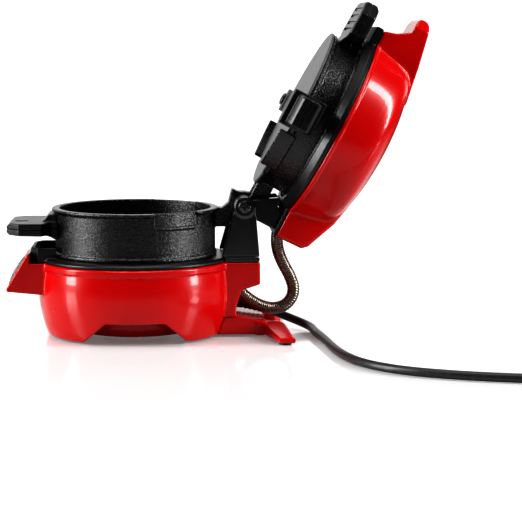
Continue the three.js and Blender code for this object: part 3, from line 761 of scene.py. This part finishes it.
def on_panel(field):
    """A field given as way up the sloping panel, way across it, and height off it."""
    def distance(p):
        x, z = p[:, 0] - PANEL_FOOT[0], p[:, 2] - PANEL_FOOT[1]
        up = (x * PANEL_RUN + z * PANEL_RISE) / PANEL_LONG
        off = (z * PANEL_RUN - x * PANEL_RISE) / PANEL_LONG
        return field(np.stack([up, p[:, 1], off], 1))

    return distance


def notch_cutter(wider, rounding):
    low, high, top = (70 + wider) / 2, (38 + wider) / 2, 15 + wider / 2
    outline = [(-low - 6, -8), (low + 6, -8), (low, 0), (high, top), (-high, top), (-low, 0)]
    return prism(outline, -80, 80, rounding)


def base_shell():
    body = turned([(0, 1.5), *BELLY, (64.8, 46), (64.8, 49), (63.7, 50), (0, 50)], 0.45)
    pod = prism([(-84.5, 31.6), (-58, 29), (-58, 50), (-68.9, 50), (-68.9, 56.5), PANEL_HEAD, PANEL_FOOT],
                -POD_HALF, POD_HALF, 0.8)
    rear = prism([(48, 13.6), (66.6, 13.6), (66.6, 20.5), (70.1, 31.3), (82.4, 35.2), (82.4, 50),
                  (48, 50)], -POD_HALF, POD_HALF, 1.3)
    outside = join(body, pod, rear, blend=1.6)
    floor_top = 15 + WALL
    core = turned([(0, -1), (41.5, -1), (41.5, floor_top), (60, floor_top), (62.4, 27), (62.4, 36),
                   (61.4, 45.2), (61.4, 51), (0, 51)])
    foot_hollow = cut(turned([(44.1, 4.1), (57.2, 4.1), (60.2, floor_top + 1), (44.1, floor_top + 1)]),
                      notch_cutter(2 * WALL, 0))
    pod_hollow = prism([(-81.9, 34.2), (-55, 31.6), (-55, 47.4), (-71.5, 47.4)], -23.4, 23.4, 0.4)
    rear_hollow = prism([(55, floor_top), (64, floor_top), (64, 20.5), (67.5, 33.9), (79.8, 37.8),
                         (79.8, 51), (55, 51)], -23.4, 23.4, 0.4)
    pocket = on_panel(box((2.7, -23.3, -4), (PANEL_LONG - 2.7, 23.3, 5), 0.8))
    openings = join(core, foot_hollow, pod_hollow, rear_hollow, pocket,
                    rod((64.9, -8, 33.4), (78.1, -8, 19.8), 5.5), rod((60, 11, 19.5), (90, 11, 19.5), 5.3))
    return moulded("base_housing", cut(cut(outside, notch_cutter(0, 1.4), blend=1.2), openings),
                   (-85, -66, 1), (83, 66, 57), 1.0, "red_plastic", "base", "base_shell")


def bottom_cover():
    field = turned([(0, 3), (38.6, 3), (41.2, 7.5), (41.2, 13.2), (39.2, 13.2), (39.2, 8), (37.6, 5),
                    (0, 5)], 0.3)
    rib = turned([(20, 2.2), (22, 2.2), (22, 4), (20, 4)], 0.3)
    return moulded("bottom_dish", join(field, rib, blend=0.8), (-42, -42, 2), (42, 42, 14), 1.2,
                   "red_plastic", "base", "bottom_cover")


def rear_foot():
    """A broad stem under the column, and two legs that slant out and back from it."""
    stem = prism([(46, 1.5), (86, 1.5), (86, 10.2), (66.6, 13.6), (46, 13.6)], -24, 24, 1.0)
    plan = [(80, 16), (80, 24), (84, 24), (93, 60), (103.5, 60), (99, 24), (95, 16)]
    legs = join(prism(plan, 0, 20, 1.0, "xy"), prism([(x, -y) for x, y in plan], 0, 20, 1.0, "xy"))
    side = prism([(-60, 1.5), (60, 1.5), (60, 4.8), (20, 9.8), (-20, 9.8), (-60, 4.8)], 70, 110, 1.0, "yz")
    belly = turned([(0, 0), (59, 0), (59, 1.5), (60.8, 6), (62.8, 13), (63.4, 16), (0, 16)])
    field = cut(join(stem, both(legs, side, blend=1.6), blend=2.5), belly)
    return moulded("rear_stabiliser", field, (45, -61, 1), (104.5, 61, 14.5), 0.8, "red_plastic", "base",
                   "rear_foot")


def lower_bezel():
    ring = turned([(47, 50.3), (63.8, 50.3), (63.8, 51.8), (62.2, 53.2), (47, 53.2)], 0.4)
    plan = [(-50, -24), (-64, -24), (-68.6, -16), (-68.6, 16), (-64, 24), (-50, 24)]
    inner = [(-40, -21.6), (-62.8, -21.6), (-66.4, -15.2), (-66.4, 15.2), (-62.8, 21.6), (-40, 21.6)]
    tray = cut(prism(plan, 50.3, 60, 0.9, "xy"), prism(inner, 53.2, 70, 0.5, "xy"),
               turned([(0, 53.2), (56.4, 53.2), (56.4, 80), (0, 80)]), blend=0.4)
    return moulded("base_bezel", join(ring, tray, blend=0.8), (-69, -64, 50), (64, 64, 61), 0.8,
                   "cast_black", "base", "lower_bezel")


def lower_heating_plate():
    field = turned([(0, 50.4), (46.7, 50.4), (46.7, 53.1), (45.6, 53.1), (44.4, 52.4), (0, 52.4)], 0.2)
    return moulded("lower_hot_plate", field, (-47, -47, 50), (47, 47, 54), 0.9, "cast_black", "base",
                   "lower_heating_plate")


def off_panel(y, low, high, radius, rounding=0.0):
    """A rod that stands on the panel where a lamp is."""
    return rod((LAMP_AT, y, low), (LAMP_AT, y, high), radius, rounding)


def control_panel():
    plate = box((3, -23, -1.4), (PANEL_LONG - 3, 23, 0.4), 0.35)
    edge = cut(box((3.4, -22.6, 0), (PANEL_LONG - 3.4, 22.6, 0.8), 0.3),
               box((4.8, -21.2, -1), (PANEL_LONG - 4.8, 21.2, 3), 0.4))
    rims = [cut(off_panel(y, 0, 1.3, 6.9, 0.4), off_panel(y, 0.2, 4, 5.6))
            for y in (-LAMP_APART, LAMP_APART)]
    whole = on_panel(join(plate, edge, *rims, blend=0.3))
    return moulded("lamp_panel", whole, (-85, -24, 33), (-68, 24, 58), 0.5, "panel_grey", "base",
                   "control_panel")


def lamp_lens(name, y, look, node):
    dome = both(off_panel(y, 0.7, 2.4, 5.4, 0.4), ball((LAMP_AT, y, -10), 12.2), blend=0.4)
    return moulded(name, on_panel(dome), (-86, y - 6, 36), (-72, y + 6, 52), 0.4, look, "base", node)


# ---------- hinge ----------

PIN_Z = float(HINGE[2])
PIN_X = float(HINGE[0])


def across(from_y, to_y, radius, rounding=0.0, x=PIN_X, z=PIN_Z):
    return rod((x, from_y, z), (x, to_y, z), radius, rounding)


def hinge_post(name, from_y, to_y, node):
    plate = prism([(56.8, 53.5), (82, 53.5), (79.3, 86.5), (66.1, 86.5)], from_y, to_y, 0.7)
    field = join(plate, across(from_y, to_y, 6.6, 0.7), blend=1.5)
    field = cut(field, across(from_y - 1, to_y + 1, PIN_HOLE))
    return moulded(name, field, (56, from_y - 0.5, 53), (83, to_y + 0.5, 94), 0.6, "gloss_black", "base",
                   node)


def hinge_screw(name, y, outward, node):
    near, far = sorted([y, y + outward * 1.6])
    head = both(across(near, far, 4.6, 0.3), ball((PIN_X, y - outward * 5.6, PIN_Z), 7.2), blend=0.5)
    low, high = sorted([y + outward * 0.7, y + outward * 3])
    cross = [box((PIN_X - a, low, PIN_Z - b), (PIN_X + a, high, PIN_Z + b), 0.1)
             for a, b in ((2.4, 0.5), (0.5, 2.4))]
    return moulded(name, cut(head, *cross), (67, near, 81), (77.5, far, 92), 0.35, "gloss_black", "base",
                   node)


def hinge_bracket():
    clear = turned([(0, 40), (64.1, 40), (64.1, 60), (0, 60)])
    field = cut(box((50, -25.7, 50.3), (82, 25.7, 53.2), 0.7), clear)
    return moulded("hinge_bridge", field, (50, -26, 50), (83, 26, 54), 0.8, "gloss_black", "base",
                   "hinge_bracket")


def hinge_pin():
    shaft = across(-24.2, 24.2, 2.9, 0.4)
    return moulded("hinge_shaft", shaft, (69, -25, 83), (76, 25, 90), 0.5, "steel", "base", "hinge_pin")


# ---------- rings, plate and handles ----------


def lower_ring():
    wall = turned([(RING_BORE, 53.5), (54.4, 53.5), (54.4, 55.4), (53.4, 56.4), (53.4, 82), (55.4, 83.4),
                   (55.4, 84.6), (54.9, 85), (RING_BORE, 85)], 0.35)
    seats = [sector(52.2, 58, -76, -40, 76, 90, 0.4), sector(52.2, 58, 40, 76, 76, 90, 0.4)]
    arm = prism([(51.5, 71.7), (62, 71.7), (66.5, 78), (66.5, 92), (66.2, 96.6), (64.4, 96.6), (62.2, 88),
                 (58, 84.4), (51.5, 84.4)], -6, 6, 0.8)
    ear = prism([(64.4, 96.6), (66.5, 86), (78, 90), (77.4, 94.6), (70, 95)], -6, 6, 0.6)
    shelves = [sector(53, 54.8, -75, -43, 74.4, 76.2, 0.6), sector(53, 54.8, 43, 75, 74.4, 76.2, 0.6)]
    field = join(cut(wall, *seats), *shelves, arm, ear, across(-6, 6, 8.3, 0.8), blend=1.2)
    mouth = box((PIN_X - PIN_HOLE, -9, 70), (PIN_X + PIN_HOLE, 9, PIN_Z), 0)
    field = cut(field, across(-9, 9, PIN_HOLE), mouth,
                turned([(0, 40), (RING_BORE, 40), (RING_BORE, 110), (0, 110)]))
    return moulded("lower_cooking_ring", field, (-56, -56, 53), (82, 56, 100), 0.9, "hammered_black",
                   "base", "lower_ring")


GRIP_HALF = 27.7
GRIP_SIDE = [(-40, 17), (-55, 17), (-61, GRIP_HALF), (-75.5, GRIP_HALF), (-84.5, 18.7)]
GRIP_PLAN = [(x, -y) for x, y in GRIP_SIDE] + GRIP_SIDE[::-1]


def paddle(low, top, drop, rise, edge):
    """A ring's grip: a slab with a waist, a step under its root and a fairing on top of it."""
    side = prism([(-46, low - drop), (-53, low - drop), (-58, low), (-82.5, low + 0.6), (-84.5, low + 2.4),
                  (-84.5, top - 2.4), (-81.5, top), (-46, top)], -GRIP_HALF, GRIP_HALF, edge)
    plan = prism(GRIP_PLAN, low - 10, top + 20, 1.6, "xy")
    fairing = prism([(-46, top - 2), (-61.6, top - 2), (-61, top), (-57, top + rise), (-46, top + rise)],
                    -14, 14, 0.8)
    whole = join(both(side, plan, blend=1.0), fairing, blend=1.5)
    return cut(whole, turned([(0, 40), (53.5, 40), (53.5, 130), (0, 130)]), blend=0.5)


def lower_grip():
    low, top = 68, 76.5
    whole = paddle(low, top, 3, 4.8, 1.2)
    seam = cut(box((-90, -40, low + 4.1), (-40, 40, low + 4.6), 0), moved_in(whole, 0.5))
    field = cut(whole, box((-79, -9, top - 1.6), (-71, -5, top + 2), 0.5),
                box((-86, -14, low + 3.2), (-82.5, 14, low + 5.4), 0.4), seam)
    return moulded("lower_ring_grip", field, (-85, -28.5, 64), (-45, 28.5, 85.2), 0.6, "grip_black", "base",
                   "lower_ring_handle")


def upper_grip():
    low, top = 93.3, 104.5
    whole = paddle(low, top, 2, 1.4, 2.2)
    grooves = [box((x - 1, -22, low - 3), (x + 1, 22, low + 1.4), 0.4) for x in (-78, -73, -68, -63)]
    seam = cut(box((-90, -40, low + 5.1), (-40, 40, low + 5.6), 0), moved_in(whole, 0.5))
    field = cut(whole, *grooves, box((-86, -14, low + 4), (-82.5, 14, low + 6.6), 0.4), seam)
    return moulded("upper_ring_grip", field, (-85, -28.5, 86), (-45, 28.5, 106.5), 0.6, "grip_black",
                   "upper_ring", "upper_ring_handle")


PIVOT = (-2, 66)


def pivot_lug():
    x, y = PIVOT
    beam = prism([(x - 9, 48), (x + 9, 48), (x + 9, y), (x - 9, y)], 87.4, 98, 0.8, "xy")
    end = rod((x, y, 87.4), (x, y, 98), 11.2, 0.8)
    skirt = moved(sector(8.9, 11.2, 68, 112, 83.4, 90, 0.5), x, y)
    return join(beam, end, skirt, blend=0.8)


def upper_ring():
    wall = turned([(RING_BORE, 87.4), (55.4, 87.4), (55.4, 89.4), (53.4, 90.6), (53.4, 106.4),
                   (54.4, 107.4), (54.4, 108.4), (53.8, 108.9), (RING_BORE, 108.9)], 0.35)
    claws = [sector(53, 55.8, a, b, 80.5, 92, 0.8) for a, b in ((-74, -42), (42, 74))]
    field = join(wall, *claws, pivot_lug(), blend=0.8)
    for low, high in ((-12, -6.6), (6.6, 12)):
        arm = prism([(50, 87.4), (66, 87.4), (72.7, 80.2), (74, 92.6), (64, 98.6), (50, 98.6)],
                    low, high, 0.7)
        field = join(field, arm, across(low, high, 6.8, 0.7), blend=0.8)
    field = cut(field, across(-13, 13, PIN_HOLE), rod((*PIVOT, 80), (*PIVOT, 100), PIVOT_HOLE),
                turned([(0, 40), (RING_BORE, 40), (RING_BORE, 130), (0, 130)]))
    return moulded("upper_cooking_ring", field, (-56, -56, 80), (80, 78, 110), 0.9, "hammered_black",
                   "upper_ring", "upper_ring")


def cooking_plate():
    x, y = PIVOT
    disc = turned([(0, 85.3), (55.4, 85.3), (55.8, 85.8), (55.8, 87.1), (0, 87.1)], 0.25)
    disc = cut(disc, sector(52.6, 60, -78, -32, 80, 90, 0.4), sector(52.6, 60, 38, 77, 80, 90, 0.4))
    neck = box((x - 7, 50, 85.3), (x + 7, 62, 87.1), 0.3)
    boss = rod((x, y, 83.2), (x, y, 87.1), 8.3, 0.4)
    tang = box((-5, -80, 85.3), (5, -50, 87.1), 0.3)
    field = join(disc, neck, boss, tang, blend=0.8)
    field = cut(field, rod((x, y, 80), (x, y, 100), PIVOT_HOLE))
    return moulded("swing_plate", field, (-57, -81, 83), (57, 75, 88), 0.8, "plate_black",
                   "cooking_plate", "cooking_plate")


def plate_handle():
    guard = box((-12, -61, 76.5), (12, -56.5, 99.5), 1.2)
    grip = prism([(-58, 80.8), (-84.4, 80.8), (-86.4, 82.8), (-86.4, 92.4), (-84.4, 94.4), (-58, 94.4)],
                 -10, 10, 1.4, "yz")
    grooves = [box((-7, y - 0.9, 79), (7, y + 0.9, 82), 0.3) for y in (-79, -74, -69, -64.5)]
    seam = cut(box((-20, -90, 87.4), (20, -61, 87.8), 0), moved_in(grip, 0.5))
    tang = box((-5.3, -80.3, 85), (5.3, -50, 87.4), 0)
    field = cut(join(guard, grip, blend=1.2), *grooves, seam, tang)
    return moulded("plate_grip", field, (-13, -87, 76), (13, -56, 100), 0.5, "grip_black",
                   "cooking_plate", "plate_handle")


def pivot_pin():
    x, y = PIVOT
    head = both(rod((x, y, 80.6), (x, y, 82.8), 4.4, 0.4), ball((x, y, 88), 7.6), blend=0.5)
    whole = join(head, rod((x, y, 82), (x, y, 98.3), 2.5, 0.3))
    return moulded("plate_pivot", whole, (x - 5, y - 5, 80), (x + 5, y + 5, 99), 0.4, "gloss_black",
                   "upper_ring", "plate_pivot_pin")


# ---------- lid ----------

DOME = curve([(64.4, 115.6), (63.4, 121.5), (60.8, 135), (59, 139.6), (56, 143), (50, 146), (36, 149.6),
              (18, 151.8), (0, 152.4)], 4)
HOLLOW = curve([(62.3, 116.4), (61.3, 121.5), (58, 134.4), (56, 138.4), (53.6, 140.8), (49, 143.1),
                (35.5, 146.9), (18, 149.1), (0, 149.7)], 3)


def conduit_hole():
    """A row of short rods along the conduit's last stretch, in the closed layout."""
    c, s = math.cos(OPEN_ANGLE), math.sin(OPEN_ANGLE)
    x, y, z = (np.array(CONDUIT_ROUTE[-5:], float) - HINGE).T
    ends = np.stack([c * x - s * z, y, s * x + c * z], 1) + HINGE
    return join(*[rod(a, b, CONDUIT_DIAMETER / 2 + 0.8) for a, b in zip(ends, ends[1:])])


def lid_shell():
    lip = turned([(60, RIM_Z), (65.3, RIM_Z), (65.3, 116.2), (60, 116.2)], 1.1)
    dome = join(turned([(0, RIM_Z), (64.4, RIM_Z), *DOME[:-1], (0, 152.4)], 0.3), lip, blend=0.5)
    rear = prism([(40, RIM_Z), (80, RIM_Z), (79.3, 132.6), (76, 136), (54.9, 144.4), (40, 147)],
                 -25, 25, 2.2)
    tip = [(-86, 139.8), (-88.7, 138.8), (-90.5, 137), (-91.2, 134.7), (-90.6, 132.3), (-89, 130.7),
           (-86.6, 130)]
    beak = prism([(-36, 149), (-62, 144.8), *tip, (-79.7, 129.9), (-74.5, 121.5), (-72.7, 115.3),
                  (-72.3, RIM_Z), (-36, RIM_Z)], -23, 23, 1.6)
    beak = both(beak, prism([(-20, 23), (-84, 23), (-91.2, 17), (-91.2, -17), (-84, -23), (-20, -23)],
                            100, 160, 3.0, "xy"), blend=1.0)
    cavity = turned([(0, 112), (62.3, 112), *HOLLOW[:-1], (0, 149.7)])
    rear_cavity = prism([(40, 112), (77.4, 112), (76.7, 131.4), (54.5, 141.6), (40, 142)], -22.4, 22.4, 0.4)
    beak_cavity = prism([(-36, 145.4), (-62, 142), (-84, 137.6), (-84, 133.2), (-77.6, 132.6), (-71.6, 120),
                         (-69.6, 112), (-36, 112)], -20.4, 20.4, 0.4)
    flat = box((-100, -80, 100), (100, 80, RIM_Z), 0)
    field = cut(join(dome, rear, beak, blend=2.0), cavity, rear_cavity, beak_cavity, flat, conduit_hole())
    return moulded("lid_dome", field, (-92, -66, 113), (81, 66, 153), 1.0, "red_plastic", "lid",
                   "lid_shell")


def lid_bezel():
    ring = turned([(56.2, 106.5), (61, 106.5), (64.8, 110.5), (64.8, 113.3), (50, 113.3), (50, 112.3),
                   (56.2, 112.3)], 0.3)
    clear = turned([(0, 100), (56.2, 100), (56.2, 112.3), (0, 112.3)])
    front_tab = box((-73, -22, 108), (-60, 22, 113.3), 1.0)
    rear_tab = box((58, -24.6, 111.2), (79.6, 24.6, 113.3), 0.6)
    field = join(ring, front_tab, rear_tab, blend=0.8)
    return moulded("lid_rim", cut(field, clear, conduit_hole()), (-74, -65, 106), (80, 65, 114), 0.9,
                   "cast_black", "lid", "lid_bezel")


def lid_arm(name, low, high, node):
    plate = prism([(76.7, 86.5), (76.7, 110.9), (64.6, 110.9), (62.2, 106.2), (57.4, 106.2), (56.6, 104),
                   (65.6, 90)], low, high, 0.6)
    field = cut(join(plate, across(low, high, 6.8, 0.6), blend=1.0), across(low - 1, high + 1, PIN_HOLE))
    return moulded(name, field, (56, low - 0.5, 79), (80, high + 0.5, 111.5), 0.7, "gloss_black", "lid",
                   node)


def upper_heating_plate():
    field = turned([(0, 109.3), (54.6, 109.3), (55.6, 110), (55.6, 112), (0, 112)], 0.25)
    return moulded("upper_hot_plate", field, (-56, -56, 109), (56, 56, 112.5), 0.9, "cast_black", "lid",
                   "upper_heating_plate")


# ---------- conduit ----------

CONDUIT_ROUTE = [(x, -8, z) for x, z in [
    (64.9, 33.4), (71.5, 26.6), (78, 21.6), (85.1, 18.1), (92.1, 16.9), (99.2, 18.6), (104.2, 23.8),
    (105.5, 30.4), (103, 38.6), (98.6, 47), (95.6, 54.5), (94.4, 61.6), (94.8, 67.4), (96.2, 72)]]
CONDUIT_PITCH = 1.5
CONDUIT_WAVE = 0.14                        # half the depth of the winding


def conduit():
    line = smooth_line(CONDUIT_ROUTE)

    def radius(s, around):
        wave = np.cos(2 * math.pi * s / CONDUIT_PITCH - around)
        return CONDUIT_DIAMETER / 2 - CONDUIT_WAVE + CONDUIT_WAVE * wave

    piece = swept("wound_conduit", line, radius, 28, 0.22, "conduit_steel", "base", "conduit")
    piece.parent = None
    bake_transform(piece)
    return piece


# ---------- the pieces that are made, and the frame's own ----------

base_shell()
bottom_cover()
rear_foot()
lower_bezel()
lower_heating_plate()
control_panel()
lamp_lens("power_lamp", -LAMP_APART, "red_lens", "power_lamp_lens")
lamp_lens("preheat_lamp", LAMP_APART, "green_lens", "preheat_lamp_lens")
hinge_bracket()
hinge_post("hinge_leg_near", -24.5, -19.5, "hinge_post_near")
hinge_post("hinge_leg_far", 19.5, 24.5, "hinge_post_far")
hinge_screw("hinge_cap_near", -24.8, -1, "hinge_screw_near")
hinge_screw("hinge_cap_far", 24.8, 1, "hinge_screw_far")
hinge_pin()
lower_ring()
lower_grip()
upper_ring()
upper_grip()
cooking_plate()
plate_handle()
pivot_pin()
lid_shell()
lid_bezel()
lid_arm("lid_hinge_arm_near", -18.9, -12.6, "lid_arm_near")
lid_arm("lid_hinge_arm_far", 12.6, 18.9, "lid_arm_far")
upper_heating_plate()
conduit()

for subpart in frame["record"]["subparts"]:
    node = frame["nodes"][subpart["node"]]
    node.data.materials.clear()
    node.data.materials.append(LOOKS[subpart["material_slot"]])
    edges = node.modifiers.new("edges", "BEVEL")
    edges.width = EDGE_BEVEL * MM
    edges.segments = 2
    edges.limit_method = "ANGLE"

# ---------- floor and light ----------

NEAR_FLOOR = 0.25                          # metres out where the floor starts to fade to white
FAR_FLOOR = 0.7
FLOOR_GLOW = 0.1                           # the near floor's own light, as the camera sees it
FLOOR_BOUNCE = 0.06                        # and as the object gets it
ROOM_GLOW = 0.04                           # what the object gets from the white all round it


def staged(name, look, segments, size):
    """A flat square that isn't part of the object, lying at the origin."""
    shape = bmesh.new()
    bmesh.ops.create_grid(shape, x_segments=segments, y_segments=segments, size=size)
    mesh = bpy.data.meshes.new(name)
    shape.to_mesh(mesh)
    shape.free()
    mesh.materials.append(look.material)
    piece = bpy.data.objects.new(name, mesh)
    bpy.context.collection.objects.link(piece)
    return piece


def floor():
    """Lit and faintly mirroring near the object, plain white further out."""
    look = Look("floor", 0.1, specular=0.3)
    look.colour(look.noise(3), [(0.3, (0.56, 0.56, 0.56)), (0.7, (0.58, 0.58, 0.58))])
    look.set("Emission Color", (1, 1, 1, 1))
    nodes, links = look.nodes, look.links
    seen = nodes.new("ShaderNodeLightPath").outputs["Is Camera Ray"]
    glow = look.add("ShaderNodeMapRange", To_Min=FLOOR_BOUNCE, To_Max=FLOOR_GLOW)
    links.new(seen, glow.inputs["Value"])
    links.new(glow.outputs["Result"], look.shader.inputs["Emission Strength"])
    white = look.add("ShaderNodeEmission")
    bright = look.add("ShaderNodeMapRange", To_Min=ROOM_GLOW, To_Max=1.0)
    links.new(seen, bright.inputs["Value"])
    links.new(bright.outputs["Result"], white.inputs["Strength"])
    distance = nodes.new("ShaderNodeVectorMath")
    distance.operation = "LENGTH"
    links.new(look.place, distance.inputs[0])
    far = look.add("ShaderNodeMapRange", From_Min=NEAR_FLOOR, From_Max=FAR_FLOOR)
    far.interpolation_type = "SMOOTHSTEP"
    links.new(distance.outputs["Value"], far.inputs["Value"])
    mix = nodes.new("ShaderNodeMixShader")
    links.new(far.outputs["Result"], mix.inputs[0])
    links.new(look.shader.outputs["BSDF"], mix.inputs[1])
    links.new(white.outputs["Emission"], mix.inputs[2])
    links.new(mix.outputs["Shader"], nodes["Material Output"].inputs["Surface"])
    staged("floor", look, 8, 4)


def backdrop():
    """A white wall behind the object, which the floor mirrors."""
    look = Look("backdrop", 0.9)
    look.set("Base Color", (0, 0, 0, 1))
    look.set("Emission Color", (1, 1, 1, 1))
    look.set("Emission Strength", 1.0)
    wall = staged("backdrop", look, 4, 1)
    wall.location = (0, 2.2, 1.2)
    wall.rotation_euler = (math.radians(90), 0, 0)
    wall.scale = (2.6, 1.25, 1)


def softbox(name, direction, height, distance, width, tall, power):
    """A lamp panel a way off in a direction, in degrees from the camera's side towards +X."""
    angle = math.radians(direction)
    place = Vector((math.sin(angle) * distance, -math.cos(angle) * distance, height))
    data = bpy.data.lights.new(name, "AREA")
    data.shape = "RECTANGLE"
    data.size, data.size_y = width, tall
    data.energy = power
    lamp = bpy.data.objects.new(name, data)
    lamp.location = place
    lamp.rotation_euler = (place - Vector((0, 0, 0.08))).to_track_quat("Z", "Y").to_euler()
    bpy.context.collection.objects.link(lamp)


def studio():
    """A surround that is white to the camera and dim to the object, and four lamps."""
    world = bpy.data.worlds.new("studio")
    world.use_nodes = True
    nodes, links = world.node_tree.nodes, world.node_tree.links
    seen = nodes["Background"]
    seen.inputs["Color"].default_value = (1, 1, 1, 1)
    around = nodes.new("ShaderNodeBackground")
    around.inputs["Color"].default_value = (1, 1, 1, 1)
    around.inputs["Strength"].default_value = ROOM_GLOW
    path = nodes.new("ShaderNodeLightPath")
    mix = nodes.new("ShaderNodeMixShader")
    links.new(path.outputs["Is Camera Ray"], mix.inputs[0])
    links.new(around.outputs["Background"], mix.inputs[1])
    links.new(seen.outputs["Background"], mix.inputs[2])
    links.new(mix.outputs["Shader"], nodes["World Output"].inputs["Surface"])
    bpy.context.scene.world = world
    softbox("left_softbox", -80, 0.6, 1.5, 0.4, 1.2, 36)
    softbox("right_softbox", 72, 0.6, 1.5, 0.3, 1.2, 33)
    softbox("front_fill", -8, 1.2, 1.7, 1.0, 0.5, 0.5)
    softbox("top_softbox", 0, 1.7, 0.15, 1.3, 1.3, 14)
    view = bpy.context.scene.view_settings
    view.view_transform = "Standard"
    view.look = "High Contrast"


floor()
backdrop()
studio()
